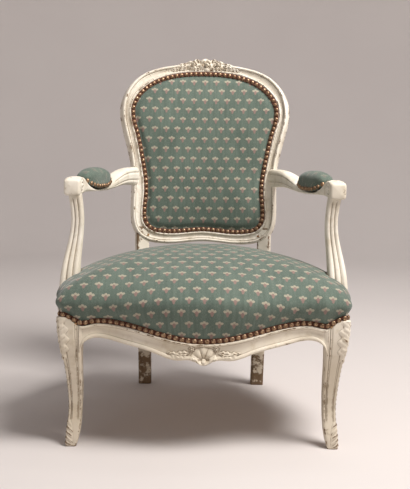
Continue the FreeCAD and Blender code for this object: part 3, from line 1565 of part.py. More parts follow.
def pad_nails():
    """Nails along the lower edge of the right elbow pad."""
    ring = pad_edge(size("fit_gap"), size("nail_radius") + size("fit_gap"))
    middle = sum(ring, Vector()) * (1 / len(ring))
    return nailed(edge_spots(spaced(ring, size("nail_pitch"), closed=True), ring, middle))


pad_blank = fixed("pad_stuffing_blank", pad_stuffing())
pad_stuffing_right = boolean("Cut", "arm_pad_stuffing_right", pad_blank, arm_blank)
pad_stuffing_left = mirrored("arm_pad_stuffing_left", pad_stuffing_right)
pad_cover_blank = fixed("pad_cover_blank", pad_cover())
pad_cover_right = boolean("Cut", "arm_pad_cover_right", pad_cover_blank, arm_blank)
pad_cover_left = mirrored("arm_pad_cover_left", pad_cover_right)
pad_nails_right = fixed("arm_pad_nails_right", pad_nails())
pad_nails_left = mirrored("arm_pad_nails_left", pad_nails_right)


# Every piece of the chair, each in a file of its own

PIECES = [
    leg_left, leg_right, stile_left, stile_right,
    front_rail, side_rail_left, side_rail_right, rear_rail, crest_rail, lower_rail,
    arm_left, arm_right, support_left, support_right,
    front_block_left, front_block_right, rear_block_left, rear_block_right,
    seat_pegs, back_pegs_both,
    lengthwise_webbing, crosswise_webbing, seat_hessian, seat_stuffing_made, seat_cover_made,
    seat_gimp, seat_nails_made,
    back_webbing, back_hessian, back_stuffing_made, back_cover_made, back_gimp, back_nails,
    outside_cover, rear_gimp, rear_nails,
    pad_stuffing_left, pad_stuffing_right, pad_cover_left, pad_cover_right,
    pad_nails_left, pad_nails_right,
]

doc.recompute()
for thing in doc.Objects:
    if "Invalid" in thing.State or "Error" in thing.State:
        raise RuntimeError(f"{thing.Name} failed")
for piece in PIECES:
    shape = piece.Shape
    if shape.isNull() or not shape.isValid() or not shape.Solids:
        raise RuntimeError(f"{piece.Label} has no valid solid")
for piece in PIECES:
    piece.Shape.exportStep(f"parts/{piece.Label}.step")
    print(piece.Label, len(piece.Shape.Solids), round(piece.Shape.Volume / 1000, 1), "cm3")
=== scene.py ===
"""Looks of a carved and painted fauteuil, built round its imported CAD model.

Shapes are worked out in millimetres, with x to the right, y to the rear and z up, and
become metres where a piece is made. Every piece is a tube: rings of points, closed by caps.
"""
import json
import math

import bpy
import numpy as np
from mathutils import Matrix, Vector


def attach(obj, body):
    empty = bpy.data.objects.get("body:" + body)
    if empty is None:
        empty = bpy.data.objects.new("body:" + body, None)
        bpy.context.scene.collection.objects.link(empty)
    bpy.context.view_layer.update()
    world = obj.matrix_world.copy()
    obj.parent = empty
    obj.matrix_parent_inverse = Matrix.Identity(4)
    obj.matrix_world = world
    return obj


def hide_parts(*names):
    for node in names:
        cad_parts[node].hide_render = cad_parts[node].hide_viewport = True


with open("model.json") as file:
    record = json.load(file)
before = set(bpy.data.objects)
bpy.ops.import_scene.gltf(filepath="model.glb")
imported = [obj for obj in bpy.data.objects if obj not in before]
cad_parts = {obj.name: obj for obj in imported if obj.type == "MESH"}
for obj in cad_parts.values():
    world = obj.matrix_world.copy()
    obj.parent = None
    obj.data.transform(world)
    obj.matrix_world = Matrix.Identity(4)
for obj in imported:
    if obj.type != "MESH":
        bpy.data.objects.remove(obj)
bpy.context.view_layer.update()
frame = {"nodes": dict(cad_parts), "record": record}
MM = 0.001
LEFTWARDS = np.array([-1, 1])
# Keeps a division off 0
TINY = 1e-9
# Half width of a leaf where it has ended
NO_WIDTH = 1e-6
RELIEF_GAIN = 5.5
RELIEF_ROUNDS = 2


# Curves

def smooth(keys, at, closed=False):
    """A curve through key points, read at fractions of the key number.

    Between two keys it is a cubic; slope and bend carry on through each key, and the
    knots are as far apart as the keys. Keys may be whole rings of points.
    """
    keys = np.asarray(keys, float)
    count = len(keys)
    steps = np.roll(keys, -1, axis=0) - keys
    gaps = np.linalg.norm(steps.reshape(count, -1), axis=1) + TINY
    if not closed:
        steps = steps[:-1]
        gaps = gaps[:-1]
    system = np.zeros((count, count))
    right = np.zeros_like(keys)
    for index in range(count):
        before = index - 1
        if not closed and index in (0, count - 1):
            nearest = 0 if index == 0 else count - 2
            beside = 1 if index == 0 else count - 2
            system[index, index] = 2
            system[index, beside] = 1
            right[index] = 3 * steps[nearest] / gaps[nearest]
            continue
        system[index, before % count] += 1 / gaps[before]
        system[index, index] += 2 / gaps[before] + 2 / gaps[index]
        system[index, (index + 1) % count] += 1 / gaps[index]
        right[index] = 3 * (steps[before] / gaps[before] ** 2 + steps[index] / gaps[index] ** 2)
    slopes = np.linalg.solve(system, right.reshape(count, -1)).reshape(keys.shape)
    at = np.asarray(at, float)
    start = np.clip(np.floor(at).astype(int), 0, len(gaps) - 1)
    end = (start + 1) % count
    each = (-1,) + (1,) * (keys.ndim - 1)
    share = (at - start).reshape(each)
    length = gaps[start].reshape(each)
    return (
        keys[start] * (2 * share ** 3 - 3 * share ** 2 + 1)
        + slopes[start] * length * (share ** 3 - 2 * share ** 2 + share)
        + keys[end] * (3 * share ** 2 - 2 * share ** 3)
        + slopes[end] * length * (share ** 3 - share ** 2)
    )


def places(start, *stretches):
    """Fractions of the key number from a start on: each stretch is its end and its even steps."""
    runs = []
    for end, steps in stretches:
        runs.append(np.linspace(start, end, steps + 1)[:-1])
        start = end
    return np.concatenate([*runs, [start]])


def round_angles(count):
    """Even steps round a circle, from 0."""
    return np.linspace(0, 2 * math.pi, count + 1)[:-1]


def run_lengths(points):
    """How far each point lies along its run: the sum of the steps up to it."""
    return np.concatenate([[0], np.cumsum(np.linalg.norm(np.diff(points, axis=0), axis=1))])


def even(points, count, closed=False):
    """The same run of points, as count points evenly spaced along it."""
    run = np.vstack([points, points[:1]]) if closed else points
    length = run_lengths(run)
    at = np.linspace(0, length[-1], count + 1 if closed else count)
    at = at[:-1] if closed else at
    return np.stack([np.interp(at, length, run[:, axis]) for axis in range(run.shape[1])], axis=1)


def both_sides(keys):
    """Key points from left to right, from those of the right half, whose first is on the middle."""
    keys = np.asarray(keys, float)
    return np.vstack([keys[:0:-1] * LEFTWARDS, keys])


def ring_keys(keys):
    """Key points of a closed ring, from those of the right half, whose ends are on the middle."""
    keys = np.asarray(keys, float)
    return np.vstack([keys, keys[-2:0:-1] * LEFTWARDS])


def blend_in(value, low, high):
    """0 below low, 1 above high, and 3 s squared less 2 s cubed at a share s between."""
    share = np.clip((value - low) / (high - low), 0, 1)
    return share * share * (3 - 2 * share)


def hump(value, middle, width):
    """A bell of height 1 round a middle."""
    return np.exp(-((value - middle) / width) ** 2)


def mound(value, power=0.5):
    """1 where a value is 0, falling to 0 where it is 1 or more: 1 less its square, to a power."""
    return np.clip(1 - value ** 2, 0, None) ** power


# Skins

def skin(points, cloth=None, caps=True):
    """Rings of points (rings, points round each, 3) as vertices and faces, a quad between each
    four neighbours.

    Caps close the first and the last ring with a fan about its middle. Cloth is a flat
    place for each point, for a weave.
    """
    rows, columns = points.shape[:2]
    number = np.arange(rows * columns).reshape(rows, columns)
    down = np.hstack([number, number[:, :1]])
    quads = np.stack([down[:-1, :-1], down[:-1, 1:], down[1:, 1:], down[1:, :-1]], axis=-1).reshape(-1, 4)
    vertices = points.reshape(-1, 3)
    flat = np.zeros((len(vertices), 2)) if cloth is None else cloth.reshape(-1, 2)
    fans = []
    if caps:
        for row, turned in ((0, False), (rows - 1, True)):
            edge = number[row]
            following = np.roll(edge, -1)
            centre = np.full(len(edge), len(vertices))
            vertices = np.vstack([vertices, points[row].mean(axis=0)])
            flat = np.vstack([flat, flat[edge].mean(axis=0)])
            pair = (edge, following) if turned else (following, edge)
            fans.append(np.stack([*pair, centre], axis=-1))
    triangles = np.vstack(fans) if fans else np.zeros((0, 3), int)
    return {"points": vertices, "quads": quads, "triangles": triangles, "cloth": flat}


def corner_numbers(shape):
    """Corners of a skin's faces as triangles, each quad cut in two."""
    quads = shape["quads"]
    return np.vstack([quads[:, [0, 1, 2]], quads[:, [0, 2, 3]], shape["triangles"]])


def turned_over(shape):
    """The same skin with its faces looking the other way."""
    return dict(shape, quads=shape["quads"][:, ::-1], triangles=shape["triangles"][:, ::-1])


def outward(shape, middle=(0, 0, 0)):
    """The same closed skin with its faces looking outwards: turned over where its volume, the
    sum of its corners' triple products about a middle, comes out below 0."""
    a, b, c = (shape["points"][corners] - middle for corners in corner_numbers(shape).T)
    inside_out = np.einsum("ij,ij->i", a, np.cross(b, c)).sum() < 0
    return turned_over(shape) if inside_out else shape


def tube(points, cloth=None):
    """A closed skin that looks outwards."""
    return outward(skin(points, cloth))


def together(*shapes):
    """Several skins as one, each with its corner numbers moved past those before it."""
    offsets = np.cumsum([0] + [len(shape["points"]) for shape in shapes])
    return {
        "points": np.vstack([shape["points"] for shape in shapes]),
        "quads": np.vstack([shape["quads"] + low for shape, low in zip(shapes, offsets)]),
        "triangles": np.vstack([shape["triangles"] + low for shape, low in zip(shapes, offsets)]),
        "cloth": np.vstack([shape["cloth"] for shape in shapes]),
    }


def flipped(shape):
    """The same skin on the other side of the chair."""
    return turned_over(dict(shape, points=shape["points"] * np.array([-1, 1, 1])))


def at_level(plan, level):
    """Points of a plan at a level, which is one number or one for each point."""
    return np.column_stack([plan, np.broadcast_to(level, len(plan))])


def dome(ring, middle, shares, low, high, powers):
    """A ring drawn in about a middle: at a share s of its size it stands (1 - s ** a) ** b of
    the way from low to high."""
    a, b = powers
    return [
        at_level(middle + (ring - middle) * share, low + (high - low) * (1 - share ** a) ** b)
        for share in shares
    ]


def curvature(shape):
    """How far each vertex stands out from its neighbours: above 0 on ridges, below 0 in grooves.

    Along an edge it is the fall from the vertex's normal plane over the edge's length
    squared. A vertex takes the mean of its edges, weighed by length, and is then evened
    out with its neighbours.
    """
    points, quads = shape["points"], shape["quads"]
    corners = corner_numbers(shape)
    a, b, c = (points[numbers] for numbers in corners.T)
    facing = np.cross(b - a, c - a)
    normals = np.zeros_like(points)
    for side in range(3):
        np.add.at(normals, corners[:, side], facing)
    normals /= np.linalg.norm(normals, axis=1, keepdims=True) + TINY
    pairs = np.vstack([quads[:, [0, 1]], quads[:, [1, 2]], quads[:, [2, 3]], quads[:, [3, 0]]])
    start, end = np.vstack([pairs, pairs[:, ::-1]]).T
    step = points[end] - points[start]
    length = np.linalg.norm(step, axis=1) + TINY
    lean = -np.einsum("ij,ij->i", step, normals[start]) / length ** 2
    total = np.bincount(start, weights=lean * length, minlength=len(points))
    weight = np.bincount(start, weights=length, minlength=len(points)) + TINY
    neighbours = np.bincount(start, minlength=len(points)) + TINY
    value = total / weight
    for turn in range(RELIEF_ROUNDS):
        spread = np.bincount(start, weights=value[end], minlength=len(points))
        value = (value + spread / neighbours) / 2
    return np.clip(value * RELIEF_GAIN, -1, 1)


def keep_values(mesh, name, values):
    """One number for each vertex, under a name that the materials read."""
    kept = mesh.attributes.new(name, "FLOAT", "POINT")
    kept.data.foreach_set("value", values.astype(np.float32))


def piece(name, shape, material, replaced=(), body="root"):
    """One finished piece from a skin in millimetres."""
    mesh = bpy.data.meshes.new(name)
    faces = shape["quads"].tolist() + shape["triangles"].tolist()
    mesh.from_pydata((shape["points"] * MM).tolist(), [], faces)
    mesh.update()
    mesh.polygons.foreach_set("use_smooth", np.ones(len(mesh.polygons), bool))
    keep_values(mesh, "relief", curvature(shape))
    keep_values(mesh, "rubbed", shape.get("rubbed", np.zeros(len(shape["points"]))))
    corners = np.zeros(len(mesh.loops), np.int32)
    mesh.loops.foreach_get("vertex_index", corners)
    flat = mesh.uv_layers.new(name="cloth")
    flat.data.foreach_set("uv", (shape["cloth"][corners] * MM).astype(np.float32).ravel())
    mesh.materials.append(material)
    made = bpy.data.objects.new(name, mesh)
    bpy.context.scene.collection.objects.link(made)
    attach(made, body)
    if replaced:
        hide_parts(*replaced)
    return made


# Materials

class Finish:
    """A material and short ways to add nodes to it."""

    def __init__(self, name):
        self.material = bpy.data.materials.new(name)
        self.material.use_nodes = True
        self.tree = self.material.node_tree
        self.surface = self.tree.nodes["Principled BSDF"]

    def put(self, socket, value):
        """A constant or another node's output into a socket."""
        if isinstance(value, bpy.types.NodeSocket):
            self.tree.links.new(value, socket)
        else:
            socket.default_value = value

    def node(self, kind, settings=None, **sockets):
        """A node with its settings and what goes into its sockets."""
        made = self.tree.nodes.new("ShaderNode" + kind)
        for key, value in (settings or {}).items():
            setattr(made, key, value)
        for key, value in sockets.items():
            self.put(made.inputs[key.replace("_", " ")], value)
        return made

    def math(self, operation, *values):
        """One sum on numbers or outputs."""
        made = self.node("Math", {"operation": operation})
        for socket, value in zip(made.inputs, values):
            self.put(socket, value)
        return made.outputs[0]

    def times(self, first, second):
        """One value times another."""
        return self.math("MULTIPLY", first, second)

    def less(self, first, second):
        """One value less another."""
        return self.math("SUBTRACT", first, second)

    def plus(self, total, *values):
        """Values added up in their order."""
        for value in values:
            total = self.math("ADD", total, value)
        return total

    def highest(self, top, *values):
        """The highest of several values."""
        for value in values:
            top = self.math("MAXIMUM", top, value)
        return top

    def mix(self, share, first, second):
        """A share of the second colour over the first. A Mix node takes the share at socket 0 and
        the colours at 6 and 7, and gives a colour at 2."""
        made = self.node("Mix", {"data_type": "RGBA"})
        for number, value in ((0, share), (6, first), (7, second)):
            self.put(made.inputs[number], value)
        return made.outputs[2]

    def between(self, value, low, high):
        """0 below low, 1 above high, an easy slope between."""
        limits = {"From_Min": low, "From_Max": high}
        return self.node("MapRange", {"interpolation_type": "SMOOTHSTEP"}, Value=value, **limits).outputs[0]

    def place(self):
        """Object coordinates, in metres."""
        return self.node("TexCoord").outputs["Object"]

    def axis(self, letter, vector=None):
        """One coordinate of a vector, by default of the place."""
        return self.node("SeparateXYZ", None, Vector=vector or self.place()).outputs[letter]

    def scaled(self, vector, scale):
        """A vector with its axes scaled: below 1 a pattern on it is drawn out along that axis."""
        return self.node("Mapping", None, Vector=vector, Scale=scale).outputs[0]

    def kept(self, name):
        """A number that each vertex keeps."""
        return self.node("Attribute", {"attribute_name": name}).outputs["Fac"]

    def noise(self, scale, detail=3.0, vector=None, roughness=0.55):
        """A cloudy pattern with a grain of about one over its scale, in metres."""
        sizes = {"Scale": scale, "Detail": detail, "Roughness": roughness}
        return self.node("TexNoise", None, Vector=vector or self.place(), **sizes).outputs["Fac"]

    def ribs(self, direction, scale, distortion, vector=None):
        """Ribs across a direction, less even at a higher distortion."""
        sizes = {"Scale": scale, "Distortion": distortion}
        made = self.node("TexWave", {"bands_direction": direction}, Vector=vector or self.place(), **sizes)
        return made.outputs["Fac"]

    def bump(self, height, distance, strength):
        """A bump of a real depth in metres."""
        return self.node("Bump", None, Height=height, Distance=distance, Strength=strength).outputs["Normal"]

    def finish(self, **sockets):
        """Sets the sockets of the shader and hands the material back."""
        for key, value in sockets.items():
            self.put(self.surface.inputs[key.replace("_", " ")], value)
        return self.material


def rgb(red, green, blue):
    """A colour written as it looks on screen, from 0 to 255, as the linear value Blender takes."""
    screen = np.array([red, green, blue]) / 255
    linear = np.where(screen <= 0.04045, screen / 12.92, ((screen + 0.055) / 1.055) ** 2.4)
    return (*linear.tolist(), 1.0)


IVORY, PALE_IVORY = rgb(222, 213, 196), rgb(239, 232, 219)
# The second of these is painted shade and grime, laid on the paint towards the floor
STAIN, LOW_SHADE_AND_GRIME, GROOVE_DIRT = rgb(194, 180, 154), rgb(184, 166, 136), rgb(124, 104, 78)
DARK_WOOD, WORN_WOOD = rgb(84, 64, 44), rgb(138, 112, 82)
DEEP_GREEN, SOFT_GREEN = rgb(72, 88, 78), rgb(90, 106, 95)
# The second colour is painted sheen, laid on the cloth in long dark streaks
PALE_THREAD, PAINTED_SHEEN_DARK = rgb(110, 122, 109), rgb(60, 76, 67)
ROSE, CREAM = rgb(152, 116, 108), rgb(182, 172, 151)
BRONZE, PALE_BRONZE = rgb(122, 92, 70), rgb(182, 154, 124)
DARK_BRAID, RED_BRAID = rgb(60, 30, 21), rgb(112, 66, 48)
BEECH, PALE_BEECH = rgb(134, 98, 62), rgb(180, 142, 98)

# Repeat of the sprigs, and ovals of a sprig: middle across and up, half width, half height
SPRIG_WIDE, SPRIG_HIGH = 30.0, 26.0
SPRIG_PETALS = [(-5.0, 3.0, 3.6, 3.1), (5.0, 3.0, 3.6, 3.1), (0.0, 5.6, 3.1, 2.8)]
SPRIG_HEART = [(0.0, -0.4, 4.5, 4.3), (0.0, -5.0, 2.7, 3.5)]
CREAM_STRENGTH, ROSE_STRENGTH = 0.7, 0.66
# How far the threads push an oval sideways, and how much they eat into its edge
FRAY_SIDEWAYS, FRAY_EDGE = 1.54, 2.0


def worn_paint(name, wear):
    """Old cream paint over beech.

    The coat is clouded ivory, stained in patches, darker towards the floor with painted
    shade and grime, and dirty in the grooves. Bare wood shows where shares of ridge, patch,
    fleck, rub and nearness to the floor add up to more than a limit, which wear brings down.
    """
    made = Finish(name)
    relief, rubbed = made.kept("relief"), made.kept("rubbed")
    height = made.axis("Z")
    cloud = made.noise(9)
    patch = made.noise(55, 4)
    fleck = made.noise(260, 4, roughness=0.7)
    coat = made.mix(made.between(cloud, 0.35, 0.65), IVORY, PALE_IVORY)
    coat = made.mix(made.times(made.between(patch, 0.5, 0.72), 0.45), coat, STAIN)
    # Painted shade and grime: the coat turns darker towards the floor
    low_shade_and_grime = made.less(1.0, made.between(height, 0.12, 0.42))
    coat = made.mix(made.times(low_shade_and_grime, 0.5), coat, LOW_SHADE_AND_GRIME)
    groove = made.plus(made.times(relief, -1), made.times(fleck, 0.3))
    coat = made.mix(made.times(made.between(groove, 0.2, 0.6), 0.7), coat, GROOVE_DIRT)
    kicked = made.less(1.0, made.between(height, 0.0, 0.16))
    shares = [(relief, 0.55), (patch, 0.75), (fleck, 0.35), (rubbed, 0.24), (kicked, 0.14)]
    ridge = made.plus(*[made.times(value, share) for value, share in shares])
    bare = made.between(ridge, 0.86 - wear, 0.96 - wear)
    grain = made.noise(120, 5, vector=made.scaled(made.place(), (1, 1, 0.08)))
    brush_marks = made.times(made.noise(420, 3), 0.5)
    return made.finish(
        Base_Color=made.mix(bare, coat, made.mix(grain, DARK_WOOD, WORN_WOOD)),
        Roughness=made.plus(0.48, made.times(patch, 0.22)),
        Normal=made.bump(made.less(brush_marks, bare), 0.0004, 0.6),
    )


def sprigged_cloth(name, upright=False, sprigs=1.0):
    """Grey-green woven cloth with rows of small cream and rose sprigs, every other row set half over.

    It lies by a piece's own flat places or, on an upright panel of the CAD model, by its
    places across and up. A sprig is ovals with frayed edges, and sprigs is how strongly
    they show. The ground is two greens with fine pale threads over them, and long dark
    streaks of painted sheen.
    """
    made = Finish(name)
    if upright:
        place = made.place()
        flat = made.node("CombineXYZ", None, X=made.axis("X", place), Y=made.axis("Z", place)).outputs[0]
    else:
        flat = made.node("UVMap", {"uv_map": "cloth"}).outputs[0]
    unevenness = made.less(made.noise(900, 2, vector=flat), 0.5)
    row = made.math("DIVIDE", made.axis("Y", flat), SPRIG_HIGH * MM)
    odd = made.math("MODULO", made.math("ABSOLUTE", made.math("FLOOR", row)), 2.0)
    column = made.plus(made.math("DIVIDE", made.axis("X", flat), SPRIG_WIDE * MM), made.times(odd, 0.5))
    across = made.times(made.less(made.math("FRACT", column), 0.5), SPRIG_WIDE)
    across = made.plus(across, made.times(unevenness, FRAY_SIDEWAYS))
    up = made.times(made.less(made.math("FRACT", row), 0.5), SPRIG_HIGH)

    def frayed(ovals):
        """1 inside any of several ovals: 1 less the squares of the distances from the middle
        over the half sizes, roughened by the threads."""
        insides = []
        for middle_across, middle_up, half_width, half_height in ovals:
            beside = made.math("DIVIDE", made.less(across, middle_across), half_width)
            above = made.math("DIVIDE", made.less(up, middle_up), half_height)
            insides.append(made.less(1.0, made.plus(made.times(beside, beside), made.times(above, above))))
        thread = made.times(unevenness, FRAY_EDGE)
        return made.between(made.plus(made.highest(*insides), thread), -0.05, 0.35)

    cream, rose = frayed(SPRIG_PETALS), frayed(SPRIG_HEART)
    fibre = made.noise(1400, 2, vector=made.scaled(flat, (1, 0.16, 1)), roughness=0.5)
    # Long streaks drawn out along the cloth, darkened as painted sheen
    painted_sheen_streak = made.noise(150, 3, vector=made.scaled(flat, (1, 0.05, 1)))
    colour = made.mix(made.between(made.noise(14), 0.3, 0.7), DEEP_GREEN, SOFT_GREEN)
    colour = made.mix(made.between(fibre, 0.35, 0.75), colour, PALE_THREAD)
    colour = made.mix(made.times(made.between(painted_sheen_streak, 0.35, 0.7), 0.4), colour, PAINTED_SHEEN_DARK)
    colour = made.mix(made.times(rose, ROSE_STRENGTH * sprigs), colour, ROSE)
    colour = made.mix(made.times(cream, CREAM_STRENGTH * sprigs), colour, CREAM)
    warp, weft = (made.times(made.ribs(axis, 520.0, 1.5, flat), 0.5) for axis in "XY")
    raised = made.plus(made.times(made.plus(warp, weft), 0.5), made.highest(cream, rose))
    return made.finish(
        Base_Color=colour,
        Roughness=0.82,
        Sheen_Weight=0.25,
        Sheen_Roughness=0.5,
        Normal=made.bump(raised, 0.0003, 0.55),
    )


def old_nail(name):
    """Antique bronze: brown metal with paler, duller patches."""
    made = Finish(name)
    spots = made.noise(300, 3)
    tone = made.mix(made.between(spots, 0.35, 0.7), BRONZE, PALE_BRONZE)
    dullness = made.plus(0.3, made.times(spots, 0.25))
    return made.finish(Base_Color=tone, Metallic=0.85, Roughness=dullness)


def braid(name):
    """Reddish-brown woven gimp with fine slanting ribs."""
    made = Finish(name)
    ribs = made.ribs("DIAGONAL", 260.0, 2.0)
    tone = made.mix(ribs, DARK_BRAID, RED_BRAID)
    return made.finish(Base_Color=tone, Roughness=0.85, Normal=made.bump(ribs, 0.0004, 0.8))


def raw_timber(name):
    """Unpainted beech and oak: noise drawn out upwards as long grain."""
    made = Finish(name)
    grain = made.noise(90, 5, vector=made.scaled(made.place(), (1, 1, 0.1)))
    tone = made.mix(made.between(grain, 0.3, 0.7), BEECH, PALE_BEECH)
    return made.finish(Base_Color=tone, Roughness=0.6, Normal=made.bump(grain, 0.0003, 0.5))


def coarse_cloth(name, dark, light, scale):
    """A coarse plain weave such as hessian or webbing: the mean of ribs across all three
    axes, so that any side shows two crossing sets."""
    made = Finish(name)
    sets = [made.ribs(axis, scale, 0.8) for axis in "XYZ"]
    ribs = made.times(made.plus(*sets), 0.333)
    tone = made.mix(ribs, dark, light)
    return made.finish(Base_Color=tone, Roughness=0.9, Normal=made.bump(ribs, 0.0006, 0.8))


PAINT = worn_paint("worn_cream_paint", 0.0)
LEG_PAINT = worn_paint("chipped_cream_paint", 0.06)
OLD_PAINT = worn_paint("rubbed_cream_paint", 0.26)
CLOTH = sprigged_cloth("sprigged_cloth")
PAD_CLOTH = sprigged_cloth("rubbed_pad_cloth", sprigs=0.3)
NAIL = old_nail("antique_nail")
SLOT_FINISH = {
    "painted_wood": PAINT,
    "bare_wood": raw_timber("bare_timber"),
    "jute_webbing": coarse_cloth("webbing_weave", rgb(110, 86, 56), rgb(170, 140, 98), 140.0),
    "hessian": coarse_cloth("hessian_weave", rgb(120, 96, 64), rgb(178, 152, 112), 300.0),
    "horsehair": coarse_cloth("horsehair", rgb(60, 48, 38), rgb(110, 92, 74), 500.0),
    "cover_fabric": sprigged_cloth("sprigged_panel_cloth", upright=True),
    "gimp": braid("gimp_braid"),
    "antique_brass": NAIL,
}
for part in frame["record"]["subparts"]:
    mesh = frame["nodes"][part["node"]].data
    mesh.materials.clear()
    mesh.materials.append(SLOT_FINISH[part["material_slot"]])


# Plan of the seat frame, as the CAD has it

BLOCK_INNER, BLOCK_OUTER = 250, 300
BLOCK_FRONT, BLOCK_REAR = -278, -228
BLOCK_CORNER = 14
STILE_INNER, STILE_FRONT = 137.5, 167
SEAT_REAR = 202
RAIL_TOP = 300
FRONT_KEYS = both_sides([(0, -305), (75, -302), (150, -286), (205, -275), (BLOCK_INNER, BLOCK_FRONT)])
SIDE_KEYS = [(BLOCK_OUTER, BLOCK_REAR), (317, -158), (292, -20), (234, 90), (175, STILE_FRONT)]
SIDE_NAILS, SIDE_NAIL_FALL = 280, 4
# Reach from the middle and height of the nail line along the front
NAIL_STOPS = [(0, 234), (215, 267.5), (BLOCK_INNER, 262), (BLOCK_OUTER - BLOCK_CORNER, SIDE_NAILS)]


def front_line(count):
    """Front face of the front rail in plan, from the middle to the leg's inner side."""
    return smooth(FRONT_KEYS, np.linspace(4, 8, count))


def side_line(count):
    """Outer face of the side rail in plan, from the leg to the stile."""
    return smooth(SIDE_KEYS, np.linspace(0, 4, count))


def seat_plan(count):
    """The seat's whole outline in plan, evenly spaced, from the middle of the front to the
    right: the front line, a quarter circle on the leg, the side line and the notch at the stile."""
    turn = np.linspace(-math.pi / 2, 0, 12)
    centre = np.array([BLOCK_OUTER - BLOCK_CORNER, BLOCK_FRONT + BLOCK_CORNER])
    corner = centre + BLOCK_CORNER * np.stack([np.cos(turn), np.sin(turn)], axis=1)
    rear = np.array([(STILE_INNER, STILE_FRONT), (STILE_INNER, SEAT_REAR), (0, SEAT_REAR)])
    half = np.vstack([front_line(60)[:-1], corner, side_line(60), rear])
    return even(ring_keys(half), count, closed=True)


def outward_of(plan):
    """Unit vectors square to a closed plan outline, away from its middle."""
    along = np.roll(plan, -1, axis=0) - np.roll(plan, 1, axis=0)
    along /= np.linalg.norm(along, axis=1, keepdims=True) + TINY
    return np.stack([along[:, 1], -along[:, 0]], axis=1)


def nail_line(plan):
    """Height of the nail line over points of the plan: half cosine waves between its stops
    along the front, and a slight even fall along the sides."""
    reach = np.abs(plan[:, 0])
    front = np.full(len(plan), float(SIDE_NAILS))
    for (start, low), (end, high) in zip(NAIL_STOPS, NAIL_STOPS[1:]):
        inside = (reach >= start) & (reach <= end)
        share = (1 - np.cos(np.pi * (reach[inside] - start) / (end - start))) / 2
        front[inside] = low + share * (high - low)
    behind = np.clip((plan[:, 1] - BLOCK_REAR) / (STILE_FRONT - BLOCK_REAR), 0, 1)
    return np.where(plan[:, 1] > BLOCK_REAR, SIDE_NAILS - SIDE_NAIL_FALL * behind, front)


# Seat

SEAT_CROWN = np.array([0, -45, 404])
WIDEST_HEIGHT = 313
SEAT_SHARES = (1, 0.97, 0.88, 0.72, 0.5, 0.25, 0.0)
# How far the cover's foot lies behind the rail's face, and its swell past the face
TUCK = 4.2
SIDE_SWELL, FRONT_SWELL = 4, 9
# Over how much of the corners the front's swell fades, and the setbacks where the rear is tucked in
FRONT_FADE = 50
REAR_FREE, REAR_TUCKED = 78, 138
# Pull marks, and the heights over the nails where they come in and go out
PULL_DEPTH, PULL_SPACING = 0.9, 25.6
PULL_IN, PULL_OUT = (10, 16), (22, 52)
UNDERSIDE = 304.6
# Arm supports as the seat meets them: heights, setbacks, and reach of their inner side
SUPPORT_HEIGHTS, SUPPORT_SETBACKS = [300, 360, 412], [-150, -138, -124]
SUPPORT_INNER = 268


def seat_cushion():
    """The stuffed seat: round the plan a smooth profile climbs from the nail line up over the
    rail, swells past it and domes in to the crown. Above the nails the cloth is pulled in
    by a shallow cosine wave, a mark for each nail."""
    plan = seat_plan(480)
    away = outward_of(plan)
    nails = nail_line(plan)
    front = np.clip((BLOCK_REAR - plan[:, 1]) / FRONT_FADE, 0, 1)
    front = front * np.clip((BLOCK_OUTER - np.abs(plan[:, 0])) / FRONT_FADE, 0, 1)
    rear = np.clip((plan[:, 1] - REAR_FREE) / (REAR_TUCKED - REAR_FREE), 0, 1)
    swell = (SIDE_SWELL + FRONT_SWELL * front) * (1 - rear) - TUCK * rear

    def ring(distance, height):
        """The plan set out by a distance, at a height."""
        return at_level(plan + away * np.reshape(distance, (-1, 1)), height)

    widest = ring(swell, WIDEST_HEIGHT)
    foot = ring(-TUCK, nails + 0.4)
    upright = ring(-TUCK, nails + 10)
    halfway = (upright[:, 2] + WIDEST_HEIGHT) / 2
    between = at_level(upright[:, :2] + (widest - upright)[:, :2] * 0.68, halfway)
    middle, crown = SEAT_CROWN[:2], SEAT_CROWN[2]
    top = dome(widest[:, :2], middle, SEAT_SHARES, WIDEST_HEIGHT, crown, (2.2, 0.6))
    outer = smooth([foot, upright, between, *top], places(0, (1, 2), (4, 15), (8.9, 33)))
    run = run_lengths(plan)
    lift = outer[..., 2] - nails
    wave = np.cos(2 * math.pi * run / PULL_SPACING + 1.5 * np.sin(run / 70))
    pull = PULL_DEPTH * wave * blend_in(lift, *PULL_IN) * (1 - blend_in(lift, *PULL_OUT))
    outer[..., :2] += away * pull[..., None]
    inner_wall = [ring(-12, UNDERSIDE), ring(-5.6, 303), ring(-5.6, nails + 0.4)]
    under_middle = np.array([*middle, UNDERSIDE])
    under = [under_middle + (inner_wall[0] - under_middle) * share for share in (0.2, 0.6)]
    points = clear_of_supports(np.concatenate([under, inner_wall, outer]))
    return tube(points, weave(points, SEAT_CROWN))


def clear_of_supports(points):
    """Draws the seat in to the inner side of each arm support, within 24 mm of its middle."""
    middle = np.interp(points[..., 2], SUPPORT_HEIGHTS, SUPPORT_SETBACKS)
    beside = blend_in(np.abs(points[..., 1] - middle), 24, 31)
    drawn = np.minimum(np.abs(points[..., 0]), SUPPORT_INNER + beside * 80)
    points = points.copy()
    points[..., 0] = np.sign(points[..., 0]) * drawn
    return points


def weave(points, crown):
    """Flat places of a domed cloth: each column is unrolled from the crown, so that what it
    falls goes along the cloth at the front and rear and across it at the sides."""
    out = points[::-1]
    step = np.diff(out, axis=0, prepend=out[:1])
    aim = out[len(out) // 3] - crown
    ahead = blend_in(np.abs(aim[:, 1]) / (np.abs(aim[:, 0]) + np.abs(aim[:, 1])), 0.24, 0.46)
    across = np.sqrt(step[..., 0] ** 2 + (1 - ahead) * step[..., 2] ** 2) * np.sign(aim[:, 0])
    along = np.sqrt(step[..., 1] ** 2 + ahead * step[..., 2] ** 2) * np.sign(aim[:, 1])
    flat = np.stack([across, along], axis=-1).cumsum(axis=0)
    return (flat + crown[:2])[::-1]


